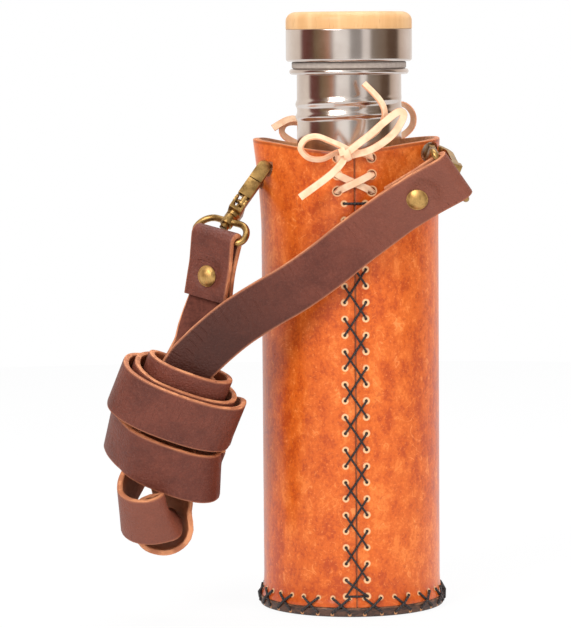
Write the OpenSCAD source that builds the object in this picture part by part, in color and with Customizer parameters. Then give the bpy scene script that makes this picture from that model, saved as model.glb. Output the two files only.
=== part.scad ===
// Leather bottle carrier with a crossed-stitch sleeve, laced neck, clip-on shoulder strap
// and the screw-capped steel bottle that it holds. Millimetres, +Z up, front towards -Y.

/* [Sleeve] */
// Outer radius of the sleeve
sleeve_r = 39.6; // [38.6:0.2:42]
// Thickness of the sleeve leather
leather_t = 2.6; // [2:0.1:3]
// Height of the rim at the front seam
rim_z = 204.2; // [200:0.5:210]
// Rise of the rim from the seams to the ears
rim_rise = 5.4; // [3:0.2:7]
// How far the foot of the sleeve spreads outwards
foot_flare = 1.3; // [0.8:0.1:1.6]
// Height of that spread
foot_h = 10; // [6:1:14]
// How far the base disc stands out beyond the foot of the sleeve
base_margin = 0.4; // [0.4:0.1:1.2]
// Thickness of the base disc
base_t = 4; // [3:0.5:5]
// Width of the butt joint between the two half panels
seam_gap = 0.6; // [0.4:0.1:1]
// Angle by which the front seam is turned towards the right
seam_turn = 2; // [0:1:5]

/* [Ears] */
// How far the left ear is pulled out of round at the rim
ear_pull = 5; // [4:0.2:6]
// Angular half width of a pulled ear
ear_spread = 17; // [14:1:20]
// Height where the ears start to spread
ear_start_z = 168; // [155:1:175]
// Azimuth of the left ear
left_ear_az = 198; // [196:1:200]
// Azimuth of the right ear
right_ear_az = 332; // [330:1:334]
// Clearance of an ear hole round the snap that passes through it
ear_hole_clear = 0.9; // [0.8:0.1:1.2]

/* [Stitching] */
// Diameter of the waxed thread
thread_d = 1.1; // [0.8:0.1:1.3]
// Distance of the hole rows from the seam
stitch_offset = 4.65; // [4:0.1:5.5]
// Pitch of the stitch holes along the seam
stitch_pitch = 7.2; // [7:0.1:7.2]
// Number of stitch holes in each row
stitch_count = 25; // [10:1:25]
// Height of the lowest stitch holes
stitch_foot_z = 9; // [8:0.5:10]
// Crosses round the base
base_cross_count = 18; // [12:2:20]
// Width of one base cross
base_cross_w = 7.4; // [6:0.2:8]

/* [Lace] */
// Width of the lace
lace_w = 3.2; // [2.8:0.1:3.4]
// Thickness of the lace
lace_t = 1.3; // [1:0.1:1.4]
// Distance of the lace holes from the seam
lace_offset = 7.5; // [7:0.1:8]
// Height of the top pair of lace holes
lace_top_z = 201.6; // [200:0.2:202]
// Pitch of the lace holes
lace_pitch = 7.2; // [6.8:0.1:7.2]
// Depth by which the drawn lace presses into the leather behind it
lace_press = 0.8; // [0.7:0.1:0.9]
// Diameter of a lace hole
lace_hole_d = 3.6; // [3.4:0.1:3.8]

/* [Strap] */
// Width of the shoulder strap
strap_w = 22; // [20:0.5:22]
// Thickness of the shoulder strap
strap_t = 2.6; // [2.2:0.1:2.6]
// Distance from the snap's bar to the rivet
rivet_reach = 17; // [16:0.5:18]
// Length of the strap end beyond the rivet
tab_tail = 10; // [8:0.5:10]
// Diameter of a rivet cap
rivet_cap_d = 9.4; // [8:0.2:10]
// Height of a rivet cap
rivet_cap_h = 2.2; // [1.8:0.1:2.6]
// Diameter of a rivet post
rivet_post_d = 3; // [2.5:0.1:3.5]

/* [Snap] */
// Thickness of the eye's wire
eye_wire_d = 3; // [2.8:0.1:3]
// Free play of the strap inside the eye
eye_play = 0.8; // [0.6:0.1:1.2]
// Distance from the bar to the middle of the swivel boss
boss_reach = 9.9; // [9.6:0.1:11]
// Radius of the swivel boss
boss_r = 2.9; // [2.7:0.1:3.2]
// Length of the swivel boss
boss_l = 4.6; // [4:0.1:5]
// Radius of the swivel post
post_r = 1.4; // [1.2:0.1:1.6]
// Running clearance of the swivel post and of the gate pin
pin_clear = 0.05; // [0.03:0.01:0.09]
// Width of the snap across its flat sides
snap_w = 6; // [5.6:0.1:6.4]
// Thickness of the hook's bar in the plane of its ring
hook_t = 3; // [2.6:0.1:3]
// Distance from the swivel axis to the middle of the gate side
gate_side = 4.8; // [4.6:0.1:5]
// Distance from the swivel axis to the middle of the spine side
spine_side = 5.2; // [5:0.1:5.6]
// Distance from the bar to the gate's pin
gate_pin_reach = 19; // [18.5:0.1:19.5]
// Length of the nose, from its split with the gate to the centre of the bend
nose_l = 8; // [7:0.2:9]
// Distance from the bar to the centre of the hook's bend
bend_reach = 39; // [38.5:0.1:39.5]
// Diameter of the gate's pin
gate_pin_d = 1.6; // [1.4:0.1:1.8]

/* [Bottle] */
// Clearance between the bottle's body and the lining side of the sleeve
bottle_play = 1.7; // [1.7:0.1:2.5]
// Wall thickness of the bottle
bottle_wall = 0.8; // [0.6:0.1:1]
// Radius of the bottle's neck
neck_r = 23.3; // [22.5:0.1:24]
// Height of the bottle from its bottom to its rolled rim
bottle_h = 235.8; // [232:0.2:240]
// Height from the bottle's bottom to the start of its shoulder
shoulder_start = 164; // [155:1:168]
// Height from the bottle's bottom to the top of its shoulder
shoulder_top = 193; // [190:1:196]
// Pitch of the rolled neck thread
neck_pitch = 5.8; // [5:0.2:6]
// Depth of the rolled neck thread
neck_thread_t = 0.9; // [0.6:0.1:1.1]
// Radius of the rolled rim
rim_r = 26.6; // [26:0.1:27]
// Radius of the grey gasket
gasket_r = 25.5; // [25:0.1:25.9]
// Thickness of the grey gasket
gasket_t = 3; // [2:0.5:4]
// Outer radius of the cap
cap_r = 28.1; // [27.5:0.1:28.6]
// Height of the cap's steel shell
cap_shell_h = 14.4; // [12:0.2:16]
// Height of the cap's wooden disc
cap_wood_h = 7.7; // [6:0.1:9]
// Radius of the plug that goes down the neck
plug_r = 20.8; // [20:0.1:21]
// Length of the plug below the gasket
plug_l = 14; // [10:0.5:16]

/* [Hidden] */
$fn = 96;

// Small allowances
// Overrun of every cut
cut = 1;
// Gap that keeps two touching bodies apart
rest_gap = 0.3;
// Gap between neighbouring layers of the strap
strap_gap = 0.6;

// Sizes that follow from the ones above
// Radius of the base disc
base_r = sleeve_r + foot_flare + base_margin;
// Radius of the bottle's body
bottle_r = sleeve_r - leather_t - bottle_play;
// Distance from the snap's bar to the split between gate and nose
gate_tip_reach = bend_reach - nose_l;

// Directions, as unit vectors
function unit(v) = v / norm(v);
function across(v, t) = unit(v - (v * t) * t);
front_az = 270 + seam_turn;
back_az = front_az - 180;

// Sleeve surface: outer radius and rim height at each azimuth
function turn_between(a, b) = let (d = (a - b) % 360) d > 180 ? d - 360 : d < -180 ? d + 360 : d;
function bump(az, centre) = exp(-pow(turn_between(az, centre) / ear_spread, 2));
function rim_at(az) = let (s = abs(sin(az - front_az)))
    rim_z + rim_rise * (cos(az - front_az + 90) < 0 ? s : s * s);
function ear_share(az, z) = pow(max(0, (z - ear_start_z) / (rim_at(az) - ear_start_z)), 1.2);
right_ear_pull = 0.6 * ear_pull;
function foot_at(z) = foot_flare * pow(max(0, 1 - (z - base_t) / foot_h), 2);
function sleeve_at(az, z) = sleeve_r + foot_at(z)
    + ear_share(az, z) * (ear_pull * bump(az, left_ear_az) + right_ear_pull * bump(az, right_ear_az));
function on_sleeve(az, z, h) = let (r = sleeve_at(az, z) + h) [r * cos(az), r * sin(az), z];

// Closed skin of a grid of rings, each with the same number of points
function grid_faces(rings, sides) = concat(
    [for (i = [0:rings - 2], j = [0:sides - 1])
        let (a = i * sides + j, b = i * sides + (j + 1) % sides) [a, a + sides, b]],
    [for (i = [0:rings - 2], j = [0:sides - 1])
        let (a = i * sides + j, b = i * sides + (j + 1) % sides) [b, a + sides, b + sides]],
    [[for (j = [0:sides - 1]) j]],
    [[for (j = [sides - 1:-1:0]) (rings - 1) * sides + j]]);

// Round or flat tube along a list of points, with its flat side turned by the first normal
function tangent(p, i) = unit(p[min(i + 1, len(p) - 1)] - p[max(i - 1, 0)]);
function carried(p, first) =
    [for (i = 0, n = across(first, tangent(p, 0)); i < len(p);
        i = i + 1, n = i < len(p) ? across(n, tangent(p, i)) : n) n];
module tube(points, first, half_w, half_t, sides) {
    normals = carried(points, first);
    rings = [for (i = [0:len(points) - 1], k = [0:sides - 1])
        let (a = 360 * (k + 0.5) / sides, side = cross(normals[i], tangent(points, i)))
        points[i] + half_w * cos(a) * side + half_t * sin(a) * normals[i]];
    polyhedron(rings, grid_faces(len(points), sides), convexity = 10);
}

// Smooth curve through hand-chosen points
function bend_point(p, i, f) = let (
    a = p[max(i - 1, 0)], b = p[i], c = p[min(i + 1, len(p) - 1)], d = p[min(i + 2, len(p) - 1)])
    0.5 * (2 * b + (c - a) * f + (2 * a - 5 * b + 4 * c - d) * f * f
        + (3 * b - a - 3 * c + d) * f * f * f);
function smooth(p, steps) = concat(
    [for (i = [0:len(p) - 2], k = [0:steps - 1]) bend_point(p, i, k / steps)],
    [p[len(p) - 1]]);

// Half panel of the sleeve
panel_columns = 44;
foot_row_shares = [0, 0.25, 0.55, 1];
ear_rows = 8;
panel_rows = len(foot_row_shares) + ear_rows + 1;
function panel_z(row, az) = row < len(foot_row_shares)
    ? base_t + foot_h * foot_row_shares[row]
    : ear_start_z + (rim_at(az) - ear_start_z) * (row - len(foot_row_shares)) / ear_rows;
seam_half_turn = asin(seam_gap / 2 / sleeve_r);
module panel(start_az) {
    span = 180 - 2 * seam_half_turn;
    rings = [for (c = [0:panel_columns])
        let (az = start_az + seam_half_turn + span * c / panel_columns)
        for (k = [0:2 * panel_rows - 1])
            let (outer = k < panel_rows, row = outer ? k : 2 * panel_rows - 1 - k,
                z = panel_z(row, az))
            on_sleeve(az, z, outer ? 0 : -leather_t)];
    polyhedron(rings, grid_faces(panel_columns + 1, 2 * panel_rows), convexity = 10);
}
module lace_holes(az) {
    for (row = [0:2], side = [-1, 1])
        rotate([0, 0, az + side * asin(lace_offset / sleeve_r)])
            translate([sleeve_r - 2 * leather_t, 0, lace_top_z - row * lace_pitch])
                rotate([0, 90, 0]) cylinder(d = lace_hole_d, h = 4 * leather_t, $fn = 24);
}
module left_panel() {
    color([0.80, 0.40, 0.16]) difference() {
        panel(back_az);
        lace_holes(front_az);
        lace_holes(back_az);
        on_snap("left") ear_holes();
    }
}
module right_panel() {
    color([0.80, 0.40, 0.16]) difference() {
        panel(front_az);
        lace_holes(front_az);
        lace_holes(back_az);
        on_snap("right") ear_holes();
    }
}
module base_disc() {
    color([0.25, 0.15, 0.11]) cylinder(r = base_r, h = base_t);
}

// Crossed seam: one thread that crosses outside and steps back a row inside
thread_flat = 0.8;
stitch_lift = 0.3 * thread_d;
stitch_over = 1.3 * thread_d;
stitch_depth = leather_t + 0.2 * thread_d;
function seam_point(az, side, row, h) = let (
    z = stitch_foot_z + (stitch_count - 1 - row) * stitch_pitch,
    a = az + side * asin(stitch_offset / sleeve_r)) on_sleeve(a, z, h);
function seam_middle(az, row, h) =
    on_sleeve(az, stitch_foot_z + (stitch_count - 1 - row) * stitch_pitch, h);
// Outer stroke from the right hole of an even row, or the left hole of an odd row, two rows down
function stroke(az, row) = let (s = row % 2 == 0 ? 1 : -1, over = row % 2 == 0 ? stitch_lift : stitch_over) [
    seam_point(az, s, row, -stitch_depth),
    seam_point(az, s, row + 0.02, 0),
    seam_point(az, 0.72 * s, row + 0.28, over),
    seam_point(az, 0.28 * s, row + 0.72, over),
    seam_point(az, -0.28 * s, row + 1.28, over),
    seam_point(az, -0.72 * s, row + 1.72, over),
    seam_point(az, -s, row + 1.98, 0),
    seam_point(az, -s, row + 2, -stitch_depth)];
module seam_thread(az) {
    route = concat(
        [seam_point(az, -1, 0, -stitch_depth), seam_point(az, -0.97, 0, 0),
         seam_middle(az, 0, stitch_lift),
         seam_point(az, 0.97, 0, 0)],
        [for (row = [0:stitch_count - 3]) each stroke(az, row)]);
    tube(route, [cos(az), sin(az), 0], thread_d / 2, thread_flat * thread_d / 2, 6);
}
module front_seam_thread() { color([0.13, 0.11, 0.11]) seam_thread(front_az); }
module back_seam_thread() { color([0.13, 0.11, 0.11]) seam_thread(back_az); }

// One thread that ties the foot of the panels to the edge of the base disc in crosses
base_hole_rise = 4.2;
base_hole_z = base_t + base_hole_rise;
base_lift = 0.45 * thread_d;
base_groove_z = 0.62 * thread_d;
base_inset = 2.2 * thread_d;
base_half_turn = asin(base_cross_w / 2 / sleeve_r);
function wall_point(az, z, h) = on_sleeve(az, z, h);
function edge_point(az, h, z) = [(base_r + h) * cos(az), (base_r + h) * sin(az), z];
function base_cross(az) = let (a = az - base_half_turn, b = az + base_half_turn) [
    wall_point(a, base_hole_z, -stitch_depth),
    wall_point(a, base_hole_z, base_lift),
    wall_point(az, base_t + thread_d, base_lift),
    edge_point(b, base_lift, base_t / 2),
    edge_point(b, -base_inset / 2, base_groove_z),
    edge_point(b, -base_inset, base_groove_z),
    edge_point(a, -base_inset, base_groove_z),
    edge_point(a, -base_inset / 2, base_groove_z),
    edge_point(a, base_lift, base_t / 2),
    wall_point(az, base_t + thread_d, 2.9 * base_lift),
    wall_point(b, base_hole_z, base_lift),
    wall_point(b, base_hole_z, -stitch_depth)];
module base_thread() {
    pitch = 360 / base_cross_count;
    route = [for (i = [0:base_cross_count - 1]) each base_cross(front_az + pitch * (i + 0.5))];
    color([0.13, 0.11, 0.11])
        tube(route, [0, 0, 1], thread_d / 2, thread_d / 2, 6);
}

// Laces: one thong each, laced across the seam and tied in a bow
lace_in = -leather_t - lace_t / 2 + lace_press;
lace_out = lace_t / 2 + 0.1;
function lace_hole(az, side, row, h) = on_sleeve(
    az + side * asin(lace_offset / sleeve_r), lace_top_z - row * lace_pitch, h);
function lace_seam(az, row, h) = on_sleeve(az, lace_top_z - row * lace_pitch, h);
function lacing(az) = [
    lace_hole(az, -1, 0, 2 * lace_out), lace_hole(az, -1, 0, 0), lace_hole(az, -1, 0.15, lace_in),
    lace_hole(az, -1, 0.85, lace_in), lace_hole(az, -1, 1, 0), lace_hole(az, -0.8, 1.1, lace_out),
    lace_seam(az, 1.5, lace_out),
    lace_hole(az, 0.8, 1.9, lace_out), lace_hole(az, 1, 2, 0), lace_hole(az, 0.8, 2.05, lace_in),
    lace_seam(az, 2.1, lace_in),
    lace_hole(az, -0.8, 2.05, lace_in), lace_hole(az, -1, 2, 0), lace_hole(az, -0.8, 1.9, lace_out),
    lace_hole(az, -0.4, 1.7, lace_out + 1.15 * lace_t),
    lace_seam(az, 1.5, lace_out + 1.15 * lace_t),
    lace_hole(az, 0.4, 1.3, lace_out + 1.15 * lace_t),
    lace_hole(az, 0.8, 1.1, lace_out), lace_hole(az, 1, 1, 0), lace_hole(az, 1, 0.85, lace_in),
    lace_hole(az, 1, 0.15, lace_in), lace_hole(az, 1, 0, 0), lace_hole(az, 1, -0.05, 1.8 * lace_out)];
// Each bow is one thong from tail to tail, its strands stacked where they cross at the knot
front_in = [[-24, -45.5, 185], [-11, -46, 194.5], [-5.8, -46.6, 200], [-4.3, -46.9, 203.2],
    [0, -46.6, 207], [6, -46, 211.5], [13, -45.6, 217.5], [19, -46, 221.7], [21, -46, 219.6],
    [16.5, -45.2, 212], [7.5, -44.6, 205.6], [-1.5, -44.4, 203], [-5.6, -43.4, 201.6]];
front_out = [[4, -42.3, 203.4], [-2, -42.8, 205.2], [-10, -43.2, 208.8], [-16.5, -44.5, 211.2],
    [-21.5, -44.5, 210], [-23.5, -44, 206], [-20, -43.5, 202], [-14, -43.2, 201.4],
    [-8.5, -42.6, 204], [-3, -41, 205.4], [3, -41.2, 208.8], [9.5, -42, 213], [13, -43.2, 220],
    [11, -43.3, 226.5], [4, -42.5, 234]];
back_in = [[-13, -44.5, 181], [-10, -45, 190], [-5.8, -46.4, 199], [-4.3, -46.9, 203.2],
    [0, -46.2, 206.4], [8, -43.4, 210.4], [19, -39.8, 215], [27, -36, 215], [28.5, -34.6, 210],
    [20, -39, 205], [8, -43.4, 204], [-1.5, -44.4, 203], [-5.6, -43.4, 201.6]];
back_out = [[4, -42.3, 203.4], [-2, -42.8, 205.2], [-8, -42.2, 211], [-16, -40.5, 218],
    [-25.5, -39, 223.3], [-31, -39, 219.5], [-31, -40, 213], [-25, -41, 207.8],
    [-15, -42.4, 204.6], [-8.5, -42.4, 204], [-3, -41, 205.4], [3, -41.2, 208.8],
    [13, -39.5, 213.5], [24, -35.5, 217], [33, -32, 213]];
loop_steps = 3;
module lace(az, tail_in, tail_out, turn) {
    function turned(p) = [p[0] * cos(turn) - p[1] * sin(turn), p[0] * sin(turn) + p[1] * cos(turn), p[2]];
    route = concat([for (p = smooth(tail_in, loop_steps)) turned(p)], lacing(az),
        [for (p = smooth(tail_out, loop_steps)) turned(p)]);
    color([0.93, 0.80, 0.64])
        tube(route, [cos(az), sin(az), 0], lace_w / 2, lace_t / 2, 8);
}
module front_lace() { lace(front_az, front_in, front_out, seam_turn); }
module back_lace() { lace(back_az, back_in, back_out, 180 + seam_turn); }

// Snaps: where each hook passes through its ear, and which way it points
left_link_az = 206.5;
left_link_z = 198.5;
left_dir = unit([0.51, 0.5, 0.7]);
left_gate_dir = across([0.15, -0.85, 0.5], left_dir);
left_bar_dir = across([0.81, -0.55, -0.19], left_dir);
right_link_az = 328;
right_link_z = 204;
right_dir = unit([-0.09, 0.966, 0.243]);
right_gate_dir = across([-0.93, -0.175, 0.33], right_dir);
right_bar_dir = across([0.55, 0.2, -0.79], right_dir);
ring_r = (gate_side + spine_side) / 2;
ring_middle = (gate_side - spine_side) / 2;
left_link_turn = 40;
right_link_reach = bend_reach - hook_t;
left_bar = on_sleeve(left_link_az, left_link_z, -leather_t / 2)
    - (ring_middle + ring_r * cos(left_link_turn)) * left_gate_dir
    - (bend_reach + ring_r * sin(left_link_turn)) * left_dir;
right_bar = on_sleeve(right_link_az, right_link_z, -leather_t / 2)
    - gate_side * right_gate_dir - right_link_reach * right_dir;
module framed(origin, x, y, z) {
    multmatrix([[x[0], y[0], z[0], origin[0]], [x[1], y[1], z[1], origin[1]],
        [x[2], y[2], z[2], origin[2]], [0, 0, 0, 1]]) children();
}
module on_snap(side) {
    if (side == "left") framed(left_bar, cross(left_gate_dir, left_dir), left_gate_dir, left_dir)
        children();
    else framed(right_bar, cross(right_gate_dir, right_dir), right_gate_dir, right_dir)
        children();
}
module on_eye(side) {
    if (side == "left") framed(left_bar, left_bar_dir, cross(left_dir, left_bar_dir), left_dir)
        children();
    else framed(right_bar, right_bar_dir, cross(right_dir, right_bar_dir), right_dir) children();
}

// Ear holes follow the hook's own ring, with clearance all round
bend_w = 3.6;
ring_half = norm([bend_w, hook_t]) / 2;
nose_half = norm([snap_w, hook_t]) / 2;
module ear_holes() {
    translate([0, gate_side, gate_tip_reach - hook_t])
        cylinder(r = nose_half + ear_hole_clear, h = bend_reach - gate_tip_reach + hook_t + snap_w / 2,
            $fn = 32);
    translate([0, -spine_side, gate_tip_reach - hook_t])
        cylinder(r = ring_half + ear_hole_clear, h = bend_reach - gate_tip_reach + hook_t, $fn = 32);
    translate([0, ring_middle, bend_reach]) rotate([90, 0, 90])
        rotate_extrude(angle = 180, $fn = 48)
            translate([ring_r, 0]) circle(r = ring_half + ear_hole_clear, $fn = 32);
}

// Eye: a wire ring with a straight bar for the strap and a bored boss for the swivel post
eye_half = (strap_w + eye_play + eye_wire_d) / 2;
eye_corner_r = 3;
eye_top = boss_reach;
module wire(l) { cylinder(d = eye_wire_d, h = l, $fn = 32); }
module wire_corner(r, a) {
    rotate_extrude(angle = a, $fn = 48) translate([r, 0]) circle(d = eye_wire_d, $fn = 32);
}
eye_arc_r = eye_top - eye_corner_r;
module eye() {
    corner = eye_half - eye_corner_r;
    arc = eye_half - eye_arc_r;
    color([0.52, 0.43, 0.25]) difference() {
        union() {
            translate([-corner, 0, 0]) rotate([0, 90, 0]) wire(2 * corner);
            for (s = [-1, 1]) {
                translate([s * corner, 0, eye_corner_r]) rotate([90, 0, 0])
                    rotate([0, 0, s > 0 ? -90 : 180]) wire_corner(eye_corner_r, 90);
                translate([s * arc, 0, eye_top - eye_arc_r]) rotate([90, 0, 0])
                    rotate([0, 0, s > 0 ? 0 : 90]) wire_corner(eye_arc_r, 90);
            }
            translate([-arc, 0, eye_top]) rotate([0, 90, 0]) wire(2 * arc);
            translate([0, 0, boss_reach - boss_l / 2]) cylinder(r = boss_r, h = boss_l, $fn = 48);
        }
        translate([0, 0, boss_reach - boss_l])
            cylinder(r = post_r + pin_clear, h = 2 * boss_l, $fn = 32);
    }
}
module left_eye() { on_eye("left") eye(); }
module right_eye() { on_eye("right") eye(); }

// Hook: nub, swivel post, collar, fork, spine, bend and nose
nub_r = 2;
nub_l = 1.9;
collar_r = 2.9;
collar_l = 2.2;
cheek_t = 1.1;
fork_half = snap_w / 2;
fork_base = boss_reach + boss_l / 2 + rest_gap + collar_l;
gate_pin_side = gate_side - hook_t / 2 + 0.4;
cheek_r = 2.5;
split_gap = 0.35;
slot_w = snap_w - 2 * cheek_t;
module hook() {
    boss_foot = boss_reach - boss_l / 2;
    boss_head = boss_reach + boss_l / 2;
    color([0.50, 0.41, 0.24]) difference() {
        union() {
            translate([0, 0, boss_foot - rest_gap / 2 - nub_l])
                cylinder(r = nub_r, h = nub_l, $fn = 32);
            translate([0, 0, boss_foot - rest_gap / 2 - nub_l / 2])
                cylinder(r = post_r, h = boss_l + nub_l + rest_gap, $fn = 32);
            translate([0, 0, boss_head + rest_gap]) cylinder(r = collar_r, h = collar_l, $fn = 48);
            translate([-fork_half, -spine_side - hook_t / 2, fork_base - collar_l / 4])
                cube([snap_w, spine_side + hook_t / 2 + gate_pin_side + hook_t / 2,
                    gate_pin_reach - fork_base + collar_l / 4]);
            translate([-fork_half, gate_pin_side, gate_pin_reach]) rotate([0, 90, 0])
                cylinder(r = cheek_r, h = snap_w, $fn = 48);
            translate([-bend_w / 2, -spine_side - hook_t / 2, fork_base])
                cube([bend_w, hook_t, bend_reach - fork_base]);
            translate([0, ring_middle, bend_reach]) rotate([90, 0, 90])
                rotate_extrude(angle = 180, $fn = 64)
                    translate([ring_r - hook_t / 2, -bend_w / 2]) square([hook_t, bend_w]);
            nose();
        }
        translate([-slot_w / 2, -spine_side + hook_t / 2, fork_base + collar_l / 2])
            cube([slot_w, 4 * cheek_r + spine_side, 4 * cheek_r + gate_pin_reach - fork_base]);
        translate([-snap_w, gate_pin_side, gate_pin_reach]) rotate([0, 90, 0])
            cylinder(d = gate_pin_d, h = 2 * snap_w, $fn = 24);
    }
    module nose() {
        foot = gate_tip_reach + split_gap;
        translate([-fork_half, gate_side - hook_t / 2, foot])
            cube([snap_w, hook_t, bend_reach - foot]);
        translate([0, gate_side - hook_t / 2, bend_reach]) rotate([-90, 0, 0])
            cylinder(r = fork_half, h = hook_t, $fn = 48);
    }
}
module left_hook() { on_snap("left") hook(); }
module right_hook() { on_snap("right") hook(); }

// Gate with its tongue, pin and torsion spring
tongue_t = 1.5;
tongue_r = 1.9;
side_gap = 0.15;
module gate() {
    foot = gate_pin_reach + cheek_r + rest_gap;
    color([0.54, 0.44, 0.26]) difference() {
        union() {
            translate([-fork_half, gate_side - hook_t / 2, foot])
                cube([snap_w, hook_t, gate_tip_reach - foot]);
            translate([-slot_w / 2 + side_gap, gate_pin_side, gate_pin_reach]) rotate([0, 90, 0])
                cylinder(r = tongue_r, h = tongue_t, $fn = 32);
            translate([-slot_w / 2 + side_gap, gate_side - hook_t / 2, gate_pin_reach])
                cube([tongue_t, hook_t * 0.8, foot - gate_pin_reach + hook_t / 4]);
        }
        translate([-snap_w, gate_pin_side, gate_pin_reach]) rotate([0, 90, 0])
            cylinder(r = gate_pin_d / 2 + pin_clear, h = 2 * snap_w, $fn = 24);
    }
}
module left_gate() { on_snap("left") gate(); }
module right_gate() { on_snap("right") gate(); }
module gate_pin() {
    color([0.30, 0.24, 0.15])
        translate([-fork_half, gate_pin_side, gate_pin_reach]) rotate([0, 90, 0])
            cylinder(d = gate_pin_d, h = snap_w, $fn = 24);
}
module left_gate_pin() { on_snap("left") gate_pin(); }
module right_gate_pin() { on_snap("right") gate_pin(); }
spring_wire_d = 0.34;
spring_turns = 2;
spring_pitch = 0.8;
spring_r = gate_pin_d / 2 + pin_clear + spring_wire_d;
spring_rings = 10;
module gate_spring() {
    start = -slot_w / 2 + side_gap + tongue_t + spring_wire_d / 2 + side_gap / 3;
    route = [for (i = [0:spring_turns * spring_rings])
        let (a = 360 * i / spring_rings)
        [start + spring_pitch * i / spring_rings * 0.95,
            gate_pin_side + spring_r * cos(a), gate_pin_reach + spring_r * sin(a)]];
    color([0.62, 0.62, 0.62]) tube(route, [0, 1, 0], spring_wire_d / 2, spring_wire_d / 2, 6);
}
module left_gate_spring() { on_snap("left") gate_spring(); }
module right_gate_spring() { on_snap("right") gate_spring(); }

// Strap ends: which way each one leaves its bar
left_strap_dir = across([-0.13, 0.08, -0.985], left_bar_dir);
left_strap_out = cross(left_strap_dir, left_bar_dir);
right_strap_dir = across([-0.79, 0.24, -0.53], right_bar_dir);
right_strap_out = cross(right_bar_dir, right_strap_dir);
fold_r = eye_wire_d / 2 + strap_gap / 2 + strap_t / 2;
lay = (strap_t + strap_gap) / 2;
// Points from the end of the tail, over the bar and back past the rivet
end_shares = [27 / 17, 22 / 17, 1, 12 / 17];
away_shares = [0.6, 0.3, 0, 0];
function strap_end(bar, along, out, wide) = concat(
    [[bar + (rivet_reach + tab_tail) * along + lay * out, wide]],
    [for (s = [end_shares[1], 1, end_shares[3]]) [bar + s * rivet_reach * along + lay * out, wide]],
    [[bar + rivet_reach * 0.35 * along + (lay + fold_r) / 2 * out, wide]],
    [for (a = [90:-30:-90]) [bar - fold_r * cos(a) * along + fold_r * sin(a) * out, wide]],
    [[bar + rivet_reach * 0.35 * along - (lay + fold_r) / 2 * out, wide]],
    [for (i = [3:-1:0])
        [bar + end_shares[i] * rivet_reach * along - (lay + away_shares[i] * lay / 1.3) * out, wide]]);
function reversed(p) = [for (i = [len(p) - 1:-1:0]) p[i]];

// Rivets through both layers at each end
rivet_half = lay + strap_t / 2;
module rivet() {
    dome_r = (pow(rivet_cap_d / 2, 2) + pow(rivet_cap_h, 2)) / (2 * rivet_cap_h);
    color([0.67, 0.57, 0.30]) union() {
        translate([0, 0, -rivet_half - rivet_cap_h / 4])
            cylinder(d = rivet_post_d, h = 2 * rivet_half + rivet_cap_h / 2, $fn = 32);
        for (s = [0, 1]) mirror([0, 0, s]) intersection() {
            translate([0, 0, rivet_half + rest_gap / 6 + rivet_cap_h - dome_r])
                sphere(r = dome_r, $fn = 64);
            translate([0, 0, rivet_half + rest_gap / 6])
                cylinder(d = rivet_cap_d, h = rivet_cap_h, $fn = 64);
        }
    }
}
module left_rivet() {
    framed(left_bar + rivet_reach * left_strap_dir, left_bar_dir, left_strap_dir,
        cross(left_bar_dir, left_strap_dir)) rivet();
}
module right_rivet() {
    framed(right_bar + rivet_reach * right_strap_dir, right_bar_dir, right_strap_dir,
        cross(right_bar_dir, right_strap_dir)) rivet();
}

// Bundle of the wound strap: its middle, and its own right, back and up
bundle_middle = [-78, -40, 96];
bundle_up = unit([0.36, -0.27, 0.89]);
bundle_right = across([1, 0, 0], bundle_up);
bundle_back = cross(bundle_up, bundle_right);
function bundle_way(v) = v[0] * bundle_right + v[1] * bundle_back + v[2] * bundle_up;
function in_bundle(v) = bundle_middle + bundle_way(v);

// Run from the right snap across the front: points on the middle of the strap, and the way across it
front_run = [
    [[12, -49.5, 173.5], [0.62, 0.2, -0.76]], [[0, -47.5, 164.5], [0.62, 0.16, -0.77]],
    [[-12, -47, 155], [0.59, 0.13, -0.8]], [[-25, -47, 146], [0.53, 0.1, -0.84]],
    [[-38, -47, 138.5], [0.5, 0.09, -0.86]], [[-50, -47.5, 131], [0.56, 0.08, -0.83]],
    [[-60, -47.5, 123], [0.65, 0.08, -0.75]], [[-68, -47, 115.5], [0.75, 0.08, -0.65]]];
// Down into the bundle, in the bundle's own directions
drop_run = [
    [[0.5, -1.5, 19.5], [0.95, -0.1, -0.3]], [[-0.5, -2, 13.5], [1, -0.05, -0.1]],
    [[0, -3, 7.5], [0.93, -0.05, 0.35]], [[3.5, -4, 3.5], [0.5, -0.15, 0.85]],
    [[9, -3.5, 2], [0.15, -0.2, 0.97]]];
// Turns from the innermost out: half width, half depth and height at each angle
turn_first = 0;
turn_last = 1440;
turn_step = 15;
turn_wide = [[0, 14.5], [1080, 28.5], [1215, 28], [1275, 23], [1440, 23]];
turn_deep = [[0, 7.6], [1170, 20.2], [1215, 20.2], [1290, 17], [1440, 17.5]];
turn_height = [[0, 2], [200, 8], [340, 8], [600, 0.5], [1080, 0], [1225, -24], [1440, -25]];
// How far the lowest turn hangs to the right of the others, and how much it leans to stand plumb
turn_shift = [[0, 0], [1185, 0], [1290, 6.5], [1440, 6.5]];
turn_lean = [[0, 0], [1185, 0], [1290, 0.3], [1440, 0.3]];
// Fullness of a turn's corners, where 1 is a plain ellipse
turn_fullness = 0.85;
function full(s) = sign(s) * pow(abs(s), turn_fullness);
turns = [for (a = [turn_first:turn_step:turn_last]) [
    in_bundle([lookup(a, turn_shift) + lookup(a, turn_wide) * full(cos(a)),
        lookup(a, turn_deep) * full(sin(a)), lookup(a, turn_height)]),
    bundle_up - [lookup(a, turn_lean), 0, 0]]];
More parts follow.
